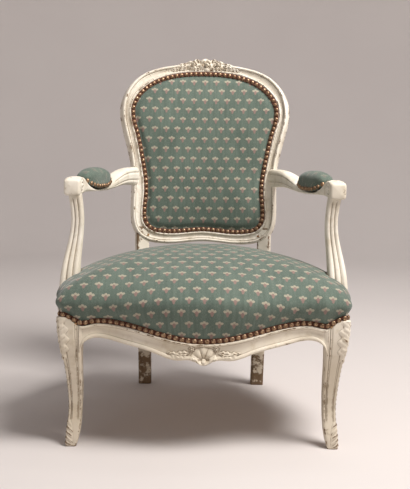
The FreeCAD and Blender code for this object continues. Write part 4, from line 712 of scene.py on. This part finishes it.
# Bent back

BEND_RADIUS = 580
RAKE = math.radians(10)
BACK_SETBACK = 190
BACK_MIDDLE = np.array([0, 325])
BACK_SWELL = 27
PAD_SHARES = (1, 0.96, 0.88, 0.74, 0.5, 0.25, 0.0)
# Reach along the bend and rise up the slope of the nails and of the frame's outer edge
NAIL_RING = ring_keys([
    (0, 532.5), (85, 523.5), (155.5, 488.5), (191.5, 428), (179.5, 371), (164.5, 305), (153, 205),
    (148, 128), (90, 112), (0, 119),
])
OUTER_RING = ring_keys([
    (0, 562), (94, 552), (181, 512), (219, 432), (209, 365), (192, 298), (187, 190),
    (171, 103), (92, 80.5), (0, 88),
])
# Share of the width, millimetres added, and depth behind the face: rebate, bead at the
# nails, groove, hollow, outer bead, side and rear
FRAME_PROFILE = [
    (0, -11, 7), (0, -1, 7), (0, 0, 0.4), (0, 5.4, 0), (0, 6.4, -0.6), (0, 7.6, -1.9), (0, 9.2, -1.9),
    (0, 10.4, -0.2), (0, 11.2, 1.9), (0, 12.4, 2.2), (0.35, 5.0, 3.4), (0.6, 2.2, 2.4), (1, -10, 1.2),
    (1, -9.0, 1.6), (1, -8.2, 2.8), (1, -7.4, 1.4), (1, -6.2, -1.4), (1, -4.2, -2.2), (1, -2.2, -1.2),
    (1, -0.7, 1.8), (1, 0, 5.5),
    (1, 0, 14), (1, 0, 24), (1, -1.2, 28), (1, -4, 30), (0.5, 0, 30), (0, -11, 30), (0, -11, 18),
]


def bend(reach, rise, depth):
    """Points of the bent and raked back: along the bend, up the slope, behind its face."""
    turn = reach / BEND_RADIUS
    across = (BEND_RADIUS + depth) * np.sin(turn)
    back = (BEND_RADIUS + depth) * np.cos(turn) - BEND_RADIUS
    return np.stack([
        across,
        BACK_SETBACK + back * math.cos(RAKE) + rise * math.sin(RAKE),
        RAIL_TOP + rise * math.cos(RAKE) - back * math.sin(RAKE),
    ], axis=-1)


def frame_edges(at):
    """The nail line and the outer edge of the back's frame at key numbers, round and round."""
    at = at % len(NAIL_RING)
    return smooth(NAIL_RING, at, closed=True), smooth(OUTER_RING, at, closed=True)


def frame_stretch(start, end, count):
    """A stretch of the back's moulded frame between two key numbers, on the bend: from the
    nail line to the outer edge, each point of the profile lies at its share of the width
    plus its millimetres. Its side is marked as rubbed."""
    inner, outer = frame_edges(np.linspace(start, end, count))
    width = np.linalg.norm(outer - inner, axis=1)
    run = (outer - inner) / width[:, None]
    share, added, depth = np.array(FRAME_PROFILE, float).T
    away = width[:, None] * share + added
    flat = inner[:, None, :] + run[:, None, :] * away[..., None]
    depths = np.broadcast_to(depth, away.shape)
    shape = tube(bend(flat[..., 0], flat[..., 1], depths))
    rubbed = np.zeros(len(shape["points"]))
    rubbed[:depths.size] = blend_in(depths, 5, 14).ravel()
    return dict(shape, rubbed=rubbed)


def back_cushion():
    """The stuffed back: the ring of nails drawn in about its middle, swelling forwards."""
    ring = smooth(NAIL_RING, np.linspace(0, len(NAIL_RING), 321)[:-1], closed=True)
    away = outward_of(ring)
    away *= np.sign((away * (ring - BACK_MIDDLE)).sum())
    edge = ring - away * 0.3
    spring = ring - away * 6.5
    keys = [at_level(edge, 0), *dome(spring, BACK_MIDDLE, PAD_SHARES, 0, -BACK_SWELL, (2.6, 0.7))]
    outer = smooth(keys, places(0, (3, 15), (6.92, 25)))
    rear = [at_level(BACK_MIDDLE + (edge - BACK_MIDDLE) * share, 2.4) for share in (0.05, 0.5, 0.99)]
    flat = np.concatenate([rear, outer])
    return tube(bend(flat[..., 0], flat[..., 1], flat[..., 2]), flat[..., :2])


# Nails

# Radius and height of the rings of a head
NAIL_RINGS = [(5.25, 0.0), (5.2, 0.7), (4.6, 1.9), (3.1, 3.0), (1.2, 3.55)]
NAIL_SIDES = 10
# A direction that no nail faces, to set its sides by
OFF_AXIS = [0.31, 0.2, 0.93]
# Points further out than this share of a nail's radius are on its rim
RIM_SHARE = 0.98


def nail_spots(node):
    """Middle and facing of every nail of a CAD node: its separate solids, each a flat disc
    with a dome, so the short axis of its points is the way it faces, rim behind."""
    mesh = frame["nodes"][node].data
    points = np.zeros(len(mesh.vertices) * 3)
    mesh.vertices.foreach_get("co", points)
    points = points.reshape(-1, 3)
    mesh.calc_loop_triangles()
    triangles = np.zeros(len(mesh.loop_triangles) * 3, np.int64)
    mesh.loop_triangles.foreach_get("vertices", triangles)
    merged, same = np.unique(np.round(points, 6), axis=0, return_inverse=True)
    triangles = same.ravel()[triangles].reshape(-1, 3)
    label = np.arange(len(merged))
    while True:
        lowest = label[triangles].min(axis=1)
        new = label.copy()
        for side in range(3):
            np.minimum.at(new, triangles[:, side], lowest)
        if (new == label).all():
            break
        label = new
    spots = []
    for root in np.unique(label):
        own = merged[label == root]
        spread = own - own.mean(axis=0)
        facing = np.linalg.svd(spread, full_matrices=False)[2][2]
        height = spread @ facing
        radius = np.linalg.norm(spread - np.outer(height, facing), axis=1)
        rim = height[radius > radius.max() * RIM_SHARE].mean()
        if rim > (height.min() + height.max()) / 2:
            facing, height = -facing, -height
        spots.append((own.mean(axis=0) + facing * height.min(), facing))
    return spots


def nail_heads(node):
    """Low domes on every nail of a CAD node: circles that narrow as they stand further out."""
    turns = round_angles(NAIL_SIDES)
    heads = []
    for base, facing in nail_spots(node):
        middle = base / MM
        side = np.cross(facing, OFF_AXIS)
        side /= np.linalg.norm(side)
        circle = np.outer(np.cos(turns), side) + np.outer(np.sin(turns), np.cross(facing, side))
        rings = [middle + circle * radius + facing * height for radius, height in NAIL_RINGS]
        heads.append(outward(skin(np.array(rings)), middle))
    return together(*heads)


# Carved ornament, as heights in millimetres over flat places

PETAL_COUNT = 5


def petals(across, up, radius, turned=0.0):
    """A rosette: a bowl whose edge and height go in and out with the petals, and a button."""
    far = np.hypot(across, up)
    lobe = np.abs(np.cos(PETAL_COUNT * (np.arctan2(up, across) + turned) / 2))
    edge = radius * (0.8 + 0.2 * lobe)
    button = 0.9 * hump(far, 0, radius * 0.2) - 0.55 * hump(far, radius * 0.36, radius * 0.12)
    return mound(far / edge) * (0.75 + 0.25 * lobe) + np.where(far < edge, button, 0)


def leaf(across, up, foot, length, width, lean):
    """A pointed leaf from its foot: a swollen blade with a cut midrib, as wide at a share s of
    its length as the sine of a half turn times s ** 0.8, with small lobes."""
    along = (across - foot[0]) * math.cos(lean) + (up - foot[1]) * math.sin(lean)
    beside = (up - foot[1]) * math.cos(lean) - (across - foot[0]) * math.sin(lean)
    share = np.clip(along / length, 0, 1)
    half = width * np.sin(np.pi * share ** 0.8) * (0.82 + 0.18 * np.cos(share * 22)) + NO_WIDTH
    inside = (along > 0) & (along < length)
    rib = 1 - 0.45 * hump(beside, 0, width * 0.14)
    return np.where(inside, mound(beside / half, 0.55) * rib * (0.85 + 0.15 * np.cos(share * 22)), 0)


def spray(side, up, flowers, leaves):
    """The highest at each place of several flowers and leaves, each scaled to its own height."""
    heights = [high * petals(side - at[0], up - at[1], *shape) for high, at, *shape in flowers]
    heights += [high * leaf(side, up, *shape) for high, *shape in leaves]
    return np.maximum.reduce(heights)


SHELL_FOOT, SHELL_LIP = 201, 208
SHELL_RIBS = 4.5
# Height and place of the scrolls, then their radius
SHELL_SCROLLS = [(5.4, (21, 205), 6.5), (5.0, (25, 224), 6.0)]
# Height and foot of the leaves, then length, half width and lean
SHELL_LEAVES = [(4.2, (29, 216), 34, 7.5, -0.12), (3.8, (42, 208), 36, 6.0, 0.25)]


def cartouche(reach, height):
    """The shell at the middle of the front rail, with a leaf trailing to either side: a fan of
    ribs round its foot, a lip below them, a knob and the spray."""
    up = height - SHELL_FOOT
    far = np.hypot(reach, up)
    rib = np.abs(np.cos(SHELL_RIBS * (np.arctan2(up, reach) - math.pi / 2)))
    fan = 6.4 * mound((far / (27 + 2 * rib)) ** 2, 1) * (0.62 + 0.38 * rib)
    fan = fan * blend_in(far, 2, 16) * blend_in(up, 0, 4)
    lip = 5 * hump(np.hypot(reach, height - SHELL_LIP), 15.5, 2.2) * blend_in(SHELL_LIP - height, 0, 4)
    knob = 5.5 * mound(np.hypot(reach, height - 200) / 5)
    return np.maximum.reduce([fan, lip, knob, spray(np.abs(reach), height, SHELL_SCROLLS, SHELL_LEAVES)])


# Seat rails

# Lower edge of the front rail: reach and height
DROP_KEYS = both_sides([
    (0, 191), (24, 200), (52, 200), (100, 213), (175, 230.5), (212, 238), (234, 235.5), (247, 226),
    (255, 207),
])
SIDE_RAIL_LOW = 236.0
RAIL_BACK, NAIL_SHELF = -36, -7.2
# Distance out of the face, with the drop below the nail line or the height over the lower edge
UPPER_BEAD = [(0.8, 0.8), (1.7, 2.3), (0.9, 4), (-0.9, 5.2)]
LOWER_BEAD = [
    (-0.9, 8.8), (0.9, 7.2), (2.2, 5.2), (2.4, 3.4), (1.5, 1.3), (-0.7, 0.1), (-3, 0), (-20, 0),
    (RAIL_BACK, 0),
]
HOLLOW_START, HOLLOW_END = 6.4, 9.4
HOLLOW_RIM, HOLLOW_DEPTH = -1.8, 1.6
# Points further back than this take no carving, and the reach where the rail runs into a leg
CARVED_FROM = -5
RAIL_TO_LEG = (247, 256)


def drop_line(reach):
    """Lower edge of the front rail over the distance from the middle."""
    curve = smooth(DROP_KEYS, np.linspace(0, len(DROP_KEYS) - 1, 400))
    return np.interp(reach, curve[:, 0], curve[:, 1])


def rail_skin(plan, top, low, relief=None):
    """A moulded rail: at each plan point the same section, set out from the roof of the rail,
    the nail line and the lower edge: a bead, a hollow and a bead. Relief is added to its
    face and fades out where the rail runs into the legs."""
    along = np.gradient(plan, axis=0)
    along /= np.linalg.norm(along, axis=1, keepdims=True)
    away = np.stack([along[:, 1], -along[:, 0]], axis=1)
    roof = np.full(len(plan), float(RAIL_TOP))
    section = [(RAIL_BACK, roof), (-12, roof), (NAIL_SHELF, roof - 1), (NAIL_SHELF, top), (-0.4, top)]
    section += [(out, top - drop) for out, drop in UPPER_BEAD]
    upper, lower = top - HOLLOW_START, low + HOLLOW_END
    for share in np.linspace(0, 1, 30):
        sunk = HOLLOW_RIM - HOLLOW_DEPTH * math.sin(math.pi * share)
        section.append((sunk, upper + (lower - upper) * share))
    section += [(out, low + rise) for out, rise in LOWER_BEAD]
    into_leg = blend_in(np.abs(plan[:, 0]), *RAIL_TO_LEG)
    rows = []
    for out, level in section:
        push = np.full(len(plan), float(out))
        if relief is not None and out > CARVED_FROM:
            push = (push + relief(plan[:, 0], level)) * (1 - into_leg) - 0.4 * into_leg
        rows.append(at_level(plan + away * push[:, None], level))
    return tube(np.array(rows).transpose(1, 0, 2))


def front_rail():
    """The serpentine front rail with its cartouche."""
    plan = even(both_sides(np.vstack([front_line(200), [(256, BLOCK_FRONT)]])), 440)
    return rail_skin(plan, nail_line(plan), drop_line(plan[:, 0]), cartouche)


def side_rail():
    """The right side rail, plain but for its beads."""
    line = side_line(90)
    plan = np.vstack([line[:1] - np.array([[0, 10]]), line])
    return rail_skin(plan, nail_line(plan), np.full(len(plan), SIDE_RAIL_LOW))


# Front legs

# Height, side of the square, reach and bow towards the front
LEG_STATIONS = np.array([
    (0, 22.5, 276.5, 247), (24, 27, 272.5, 245), (78, 27.3, 268, 237), (132, 31, 268, 241.5),
    (182, 36.5, 270.5, 250), (226, 45, 273.5, 254), (263, 50, 275, 253), (300, 50, 275, 253),
])
LEG_SQUARENESS = 5.5
KNEE_LEAF_FOOT, KNEE_LEAF_LENGTH, KNEE_LEAF_WIDTH = 186, 118, 21
KNEE_RELIEF, FOOT_RELIEF = 4, 2.3
FOOT_LEAF_LENGTH, FOOT_LEAF_WIDTH = 58, 15
# Heights where the beads and grooves come in over the foot and go out under the rail
LINES_IN, LINES_OUT = (50, 66), (262, 282)


def squared(angle, power):
    """Radius of a rounded square of half side 1 in each direction, squarer at a higher power:
    the sum of the powers of cosine and sine, to the power of -1 over it."""
    return (np.abs(np.cos(angle)) ** power + np.abs(np.sin(angle)) ** power) ** (-1 / power)


def front_leg():
    """The right cabriole leg: rounded squares on a smooth curve through its stations.

    Each face has a bead near each corner and two grooves beside it. A leaf with slanting
    cuts lies round the outer front corner over the knee, and another on the foot. Between
    them, where both have next to no width, a thin rippled ridge follows the corner. Above
    the nail line the leg steps back under the cover.
    """
    curve = smooth(LEG_STATIONS, np.linspace(0, len(LEG_STATIONS) - 1, 900))
    height = np.linspace(0, 300, 240)
    side, reach, bow = (np.interp(height, curve[:, 0], curve[:, column]) for column in (1, 2, 3))
    angle = round_angles(144)
    half = side[:, None] / 2
    radius = half * squared(angle, LEG_SQUARENESS)
    across, ahead = radius * np.cos(angle), radius * np.sin(angle)
    from_corner = 1 - np.minimum(np.abs(across), np.abs(ahead)) / half
    level = np.broadcast_to(height[:, None], radius.shape)
    plain = blend_in(level, *LINES_IN) * (1 - blend_in(level, *LINES_OUT))
    lines = 0.6 * hump(from_corner, 0.19, 0.09) - 1.9 * hump(from_corner, 0.36, 0.055)
    lines = lines - 1.4 * hump(from_corner, 0.55, 0.05)
    push = plain * (0.5 + half / 50) * lines
    swing = (np.mod(angle + math.pi / 4 + math.pi, 2 * math.pi) - math.pi) * half * 1.15
    share = np.clip((level - KNEE_LEAF_FOOT) / KNEE_LEAF_LENGTH, 0, 1)
    knee_width = KNEE_LEAF_WIDTH * np.clip(np.sin(np.pi * share), 0, None) ** 0.8
    knee_width = knee_width * (0.8 + 0.2 * np.cos(level / 3.4)) + NO_WIDTH
    knee = mound(swing / knee_width, 0.6)
    cuts = 0.78 + 0.14 * np.cos((level - 0.9 * np.abs(swing)) / 1.7) + 0.12 * np.cos(level / 3.4 + swing / 3)
    push = push * (1 - knee) + KNEE_RELIEF * knee * cuts * (1 - 0.4 * hump(swing, 0, 1.8))
    foot = mound(swing / (FOOT_LEAF_WIDTH * mound(level / FOOT_LEAF_LENGTH) + NO_WIDTH), 0.6)
    foot_cuts = 0.7 + 0.3 * np.cos((level + 0.8 * np.abs(swing)) / 1.7)
    push = push * (1 - foot) + FOOT_RELIEF * foot * foot_cuts * blend_in(level, 1.5, 6)
    place = np.stack([reach[:, None] + across, ahead - bow[:, None]], axis=-1)
    nails = nail_line(place.reshape(-1, 2)).reshape(level.shape)
    push = push + (NAIL_SHELF - 0.2) * np.clip((level - nails) / 1.2, 0, 1)
    scale = 1 + push / radius
    return tube(np.stack([reach[:, None] + across * scale, ahead * scale - bow[:, None], level], axis=-1))


# Rear legs, arms and supports

# Rise on the back, and the reach of the leg's inner and outer side there
STILE_STATIONS = [(122, 143, 174), (60, 140.5, 173)]
# Height, reach of the outer side and setback of the front of the rear leg below the back
REAR_LEG_STATIONS = [(290, 171, 168), (215, 169.5, 175), (110, 168, 187), (0, 167, 200)]
REAR_LEG_HALF_WIDTH, REAR_LEG_HALF_DEPTH = 16.75, 15
STILE_FACE, STILE_REAR = 2.0, 30.0
# Centre of the arm support, then its two half axes
SUPPORT_STATIONS = [
    ((294, -150, 292), (22.5, 0, 0), (0, 24, 0)), ((292.5, -138, 360), (20, 0, 0), (0, 20, 0)),
    ((286, -124, 412), (16, 0, 0), (0, 16, 0)), ((280, -122, 465), (13.5, 0, 0), (0, 13.5, 0)),
    ((286, -126, 530), (14.5, 0, 0), (0, 14.5, 0)),
]
# Heights where its flutes come in over the foot and go out under the arm
FLUTES_IN, FLUTES_OUT = (318, 334), (508, 520)
# Reach, setback, height, width and depth of the arm
ARM_STATIONS = np.array([
    (181, 213, 553, 26, 48), (212, 130, 552, 34, 38), (240, 60, 535.5, 38, 20), (279, -80, 536, 38, 20),
    (284, -96, 541, 38, 32), (290, -147, 538, 36, 36),
])
# Setbacks where the arm's grooves come in, and distances in front of the chair's middle where
# the block comes in, its volute has its middle and its end rounds off
GROOVES_IN = (62, 84)
BLOCK_IN, VOLUTE_MIDDLE, END_START = (84, 104), 122, 139


def swept(stations, rows, columns, power):
    """A rounded four-sided bar: stations of a centre and two half axes, joined by a smooth curve.

    Returns centres and half axes down the bar, and the two places across the section, from
    -1 to 1.
    """
    at = np.linspace(0, len(stations) - 1, rows)
    run = smooth(np.array(stations, float).reshape(len(stations), 9), at).reshape(rows, 3, 3)
    angle = round_angles(columns)
    radius = squared(angle, power)
    first = np.broadcast_to(radius * np.cos(angle), (rows, columns))
    second = np.broadcast_to(radius * np.sin(angle), (rows, columns))
    return run, first, second


def bar(run, first, second):
    """A closed bar: centre, plus each half axis times its place across the section."""
    return tube(run[:, None, 0] + run[:, None, 1] * first[..., None] + run[:, None, 2] * second[..., None])


def rear_leg():
    """The right rear leg, from behind the back's lower corner to the floor."""
    stations = []
    for rise, inner, outer in STILE_STATIONS:
        level = np.full(2, rise)
        ends = bend(np.array([inner, outer]), level, np.full(2, (STILE_FACE + STILE_REAR) / 2))
        faces = bend(np.full(2, (inner + outer) / 2), level, np.array([STILE_FACE, STILE_REAR]))
        stations.append((ends.mean(axis=0), (ends[1] - ends[0]) / 2, (faces[1] - faces[0]) / 2))
    for height, reach, setback in REAR_LEG_STATIONS:
        centre = (reach - REAR_LEG_HALF_WIDTH, setback + REAR_LEG_HALF_DEPTH, height)
        stations.append((centre, (REAR_LEG_HALF_WIDTH, 0, 0), (0, REAR_LEG_HALF_DEPTH, 0)))
    return bar(*swept(stations, 120, 64, 7))


def arm():
    """The right arm: rounded sections through its stations, squarer in front.

    Towards the back each side has two grooves. The block in front has a coiled volute on
    its sides and a leaf on top, and its end is rounded by a quarter ellipse.
    """
    curve = smooth(ARM_STATIONS, np.linspace(0, len(ARM_STATIONS) - 1, 900))
    setback = np.concatenate([np.linspace(213, -92, 110), np.linspace(-93, -147, 64)])
    reach, height, width, depth = (
        np.interp(-setback, -curve[:, 1], curve[:, column])[:, None] for column in (0, 2, 3, 4)
    )
    setback = setback[:, None]
    end = 0.7 + 0.3 * mound(np.clip((-setback - END_START) / 8, 0, 1))
    angle = round_angles(104)
    block = blend_in(-setback, *BLOCK_IN)
    radius = squared(angle, 3.2) * (1 - block) + squared(angle, 6.0) * block
    first, second = radius * np.cos(angle), radius * np.sin(angle)
    side = np.abs(np.cos(angle)) > np.abs(np.sin(angle))
    grooves = hump(second, 0.42, 0.1) + hump(second, -0.42, 0.1)
    push = -2.2 * grooves * blend_in(setback, *GROOVES_IN) * side
    level = second * depth / 2
    forward = np.broadcast_to(-setback - VOLUTE_MIDDLE, level.shape)
    far = np.hypot(forward, level - 1)
    swirl = np.arctan2(level - 1, forward)
    coil = 2.4 * hump(far, 5.4 + 0.5 * swirl, 1.2) + 1.8 * hump(far, 12.5 + 0.7 * swirl, 1.2)
    push = push + (2.6 * hump(far, 0, 3.4) - coil) * block * side
    top = np.sin(angle) > 0.72
    push = push + 1.7 * leaf(forward + 26, first * width / 2, (0, 0), 40, 13, 0.0) * block * top
    first = first * (1 + push / (width / 2) * side)
    second = second * (1 + push / (depth / 2) * ~side)
    return tube(np.stack([
        reach + first * width / 2 * end,
        np.broadcast_to(setback, first.shape),
        height + second * depth / 2 * end,
    ], axis=-1))


def arm_support():
    """The right arm support, spreading to its foot on the rail: a rounded square drawn in by
    two flutes on each face, with fine cuts round the foot."""
    run, first, second = swept(SUPPORT_STATIONS, 130, 96, 4.5)
    small = np.minimum(np.abs(first), np.abs(second))
    height = run[:, None, 0, 2]
    flutes = hump(small, 0.36, 0.13) * (1 - blend_in(height, *FLUTES_OUT)) * blend_in(height, *FLUTES_IN)
    cuts = blend_in(334 - height, 0, 8) * np.cos(height / 2.2 + 9 * small)
    scale = 1 - 0.17 * flutes + 0.05 * cuts
    return bar(run, first * scale, second * scale)


# Elbow pads

PAD_FRONT, PAD_REAR = np.array([279, -80.0]), np.array([240, 60.0])
PAD_HALF_LENGTH, PAD_HALF_WIDTH = 70, 22.5
PAD_EDGE, PAD_DIP = 549, 16
PAD_SPRING, PAD_CROWN = 559.5, 580


def elbow_pad():
    """The right elbow pad: a rounded oval whose edge dips at the arm's sides, domed above."""
    along = (PAD_REAR - PAD_FRONT) / np.linalg.norm(PAD_REAR - PAD_FRONT)
    across = np.array([along[1], -along[0]])
    middle = PAD_FRONT + along * (5 / along[1] + PAD_HALF_LENGTH)
    angle = round_angles(120)
    reach = np.abs(np.cos(angle)) ** 0.6 * np.sign(np.cos(angle))
    side = np.abs(np.sin(angle)) ** 0.6 * np.sign(np.sin(angle))
    plan = middle + along * (PAD_HALF_LENGTH * reach)[:, None] + across * (PAD_HALF_WIDTH * side)[:, None]
    edge = PAD_EDGE - PAD_DIP * np.abs(np.sin(angle)) ** 1.5
    keys = [at_level(plan, edge), at_level(plan, PAD_SPRING * 0.6 + edge * 0.4)]
    keys += dome(plan, middle, PAD_SHARES, PAD_SPRING, PAD_CROWN, (2.2, 0.6))
    outer = smooth(keys, places(0, (2, 11), (7.9, 29)))
    under = [at_level(middle + (plan - middle) * share, edge + 1.5) for share in (0.2, 0.7, 0.93)]
    points = np.concatenate([under, outer])
    return tube(points, weave(points, np.array([*middle, PAD_CROWN])))


# Carving on the crest

CREST_HALF_LENGTH = 97
# Height and place of the flowers, then radius and turn
CREST_FLOWERS = [(7.5, (33, 558), 15.5, 0.6)]
CREST_LEAVES = [
    (6.0, (12, 572), 30, 8, -0.35), (6.0, (10, 545), 34, 8, 0.0), (6.0, (46, 560), 34, 8.5, -0.35),
    (5.6, (44, 547), 38, 7.5, -0.05), (4.6, (68, 545), 28, 6.0, -0.2),
]
# Height, place and width of the bumps along its top
CREST_LOBES = [(14, 0, 14), (12, 24, 10), (8, 42, 9), (4, 62, 9)]


def crest_carving():
    """A spray of flowers in relief: heights over a strip from the nails to a scalloped top."""
    reach = np.linspace(-CREST_HALF_LENGTH, CREST_HALF_LENGTH, 300)
    nails, outer = frame_edges(np.linspace(-1.6, 1.6, 400))
    low = np.interp(reach, nails[:, 0], nails[:, 1]) + 7
    lobes = sum(high * hump(np.abs(reach), middle, width) for high, middle, width in CREST_LOBES)
    high = np.interp(reach, outer[:, 0], outer[:, 1]) + lobes - 1
    share = np.linspace(0, 1, 56)
    rise = low[:, None] + (high - low)[:, None] * share
    place = np.broadcast_to(reach[:, None], rise.shape)
    to_end = CREST_HALF_LENGTH - np.abs(place)
    taper = blend_in(to_end, 0, 14) * blend_in(share, 0, 0.06) * blend_in(1 - share, 0, 0.05)
    middle_flower = 8.5 * petals(place - 3, rise - 557, 20, 0.3)
    flowers = np.maximum(middle_flower, spray(np.abs(place), rise, CREST_FLOWERS, CREST_LEAVES))
    ground = 2.6 - 1.4 * blend_in(to_end, 10, 50)
    front = bend(place, rise, ground - flowers * taper)
    rear_place, rear_rise = place[:, ::-11], rise[:, ::-11]
    rear = bend(rear_place, rear_rise, np.full(rear_place.shape, 20.0))
    return tube(np.concatenate([front, rear], axis=1))


# Pieces

CREST_END, LOWER_END = 1.66, 7.3


def painted(name, shape, *replaced, finish=PAINT):
    """A piece of the painted frame, in place of its CAD nodes."""
    return piece(name, shape, finish, replaced)


seat = piece("seat_cushion", seat_cushion(), CLOTH, ["seat_cover", "seat_stuffing"])
back = piece("back_cushion", back_cushion(), CLOTH, ["back_cover", "back_stuffing"])
painted("crest_moulding", frame_stretch(-CREST_END, CREST_END, 160), "crest_rail")
painted("lower_moulding", frame_stretch(LOWER_END, len(NAIL_RING) - LOWER_END, 130), "back_lower_rail")
painted("crest_carving", crest_carving())
painted("front_rail_moulding", front_rail(), "front_seat_rail")
stile = frame_stretch(CREST_END, LOWER_END, 460)
for side, turned in (("right", lambda shape: shape), ("left", flipped)):
    painted(f"side_rail_moulding_{side}", turned(side_rail()), f"side_seat_rail_{side}")
    painted(f"cabriole_leg_{side}", turned(front_leg()), f"front_leg_{side}", finish=LEG_PAINT)
    painted(f"stile_moulding_{side}", turned(stile), f"rear_stile_{side}")
    painted(f"rear_leg_{side}", turned(rear_leg()), f"rear_stile_{side}", finish=OLD_PAINT)
    painted(f"carved_arm_{side}", turned(arm()), f"armrest_{side}")
    painted(f"fluted_support_{side}", turned(arm_support()), f"arm_support_{side}")
    pad_nodes = [f"arm_pad_cover_{side}", f"arm_pad_stuffing_{side}"]
    pad = piece(f"elbow_pad_{side}", turned(elbow_pad()), PAD_CLOTH, pad_nodes)
for node in ("seat_nails", "back_nails", "back_rear_nails", "arm_pad_nails_left", "arm_pad_nails_right"):
    piece(node.replace("nails", "nail_heads"), nail_heads(node), NAIL, [node])


# Camera, lamps and backdrop, in metres

PICTURE_HEIGHT, FOCAL_LENGTH = 489, 792.5
CAMERA_PLACE = (-0.020, -1.867, 0.6225)
CAMERA_DIP = math.radians(6.754)
CAMERA_YAW, CAMERA_ROLL = -0.0122, 0.0161
SEAT_AIM = (0, 0, 0.4)
STUDIO_RADIUS, STUDIO_CURVE, STUDIO_HEIGHT = 4.6, 1.8, 6.0
STUDIO_SIDES = 96
PAPER, PALE_PAPER = rgb(209, 202, 200), rgb(216, 210, 207)


def photo_camera():
    """A camera at the photograph's place, a little left of the middle: pitched down, turned
    slightly to the right and rolled. Its focal length and the picture's height are in pixels."""
    data = bpy.data.cameras.new("photo_camera")
    data.sensor_width = 36
    data.lens = FOCAL_LENGTH / PICTURE_HEIGHT * data.sensor_width
    camera = bpy.data.objects.new("photo_camera", data)
    bpy.context.scene.collection.objects.link(camera)
    level = Matrix.Rotation(CAMERA_YAW, 4, "Z") @ Matrix.Rotation(math.pi / 2 - CAMERA_DIP, 4, "X")
    turn = level @ Matrix.Rotation(CAMERA_ROLL, 4, "Z")
    camera.matrix_world = Matrix.Translation(CAMERA_PLACE) @ turn
    bpy.context.scene.camera = camera


def soft_lamp(name, place, aim, width, power, colour):
    """A square soft box aimed at a point."""
    data = bpy.data.lights.new(name, "AREA")
    data.size = width
    data.energy = power
    data.color = colour
    lamp = bpy.data.objects.new(name, data)
    bpy.context.scene.collection.objects.link(lamp)
    direction = Vector(aim) - Vector(place)
    lamp.matrix_world = Matrix.Translation(place) @ direction.to_track_quat("-Z", "Y").to_matrix().to_4x4()


def backdrop():
    """A pale round studio, swept about the chair: a floor, a quarter circle up and a wall."""
    turn = np.linspace(0, math.pi / 2, 24)
    curve = STUDIO_RADIUS - STUDIO_CURVE + STUDIO_CURVE * np.sin(turn)
    run = np.concatenate([[0.02, 1.5], curve, [STUDIO_RADIUS]])
    rise = np.concatenate([[0, 0], STUDIO_CURVE - STUDIO_CURVE * np.cos(turn), [STUDIO_HEIGHT]])
    angle = round_angles(STUDIO_SIDES)
    circle = np.stack([np.cos(angle), np.sin(angle)], axis=-1)
    rows = np.concatenate([
        run[:, None, None] * circle, np.broadcast_to(rise[:, None, None], (len(run), STUDIO_SIDES, 1))
    ], axis=-1)
    shape = skin(rows, caps=False)
    floor_middle = list(range(STUDIO_SIDES))
    mesh = bpy.data.meshes.new("backdrop")
    mesh.from_pydata(shape["points"].tolist(), [], shape["quads"][:, ::-1].tolist() + [floor_middle])
    mesh.polygons.foreach_set("use_smooth", np.ones(len(mesh.polygons), bool))
    paper = Finish("backdrop_paper")
    tone = paper.mix(paper.noise(1.2, 2), PAPER, PALE_PAPER)
    mesh.materials.append(paper.finish(Base_Color=tone, Roughness=0.9))
    made = bpy.data.objects.new("backdrop", mesh)
    bpy.context.scene.collection.objects.link(made)


photo_camera()
soft_lamp("key_lamp", (1.25, -0.95, 2.7), SEAT_AIM, 1.1, 112, (1, 0.97, 0.94))
soft_lamp("fill_lamp", (-2.0, -2.2, 1.3), SEAT_AIM, 2.0, 8, (0.95, 0.97, 1))
soft_lamp("wall_lamp", (0.7, 0.6, 3.4), (0.6, 4.2, 1.6), 1.6, 30, (1, 0.97, 0.95))
world = bpy.data.worlds.new("studio")
bpy.context.scene.world = world
world.use_nodes = True
world_light = world.node_tree.nodes["Background"]
world_light.inputs["Color"].default_value = (0.9, 0.88, 0.87, 1)
world_light.inputs["Strength"].default_value = 0.24
backdrop()
bpy.context.scene.view_settings.view_transform = "Standard"
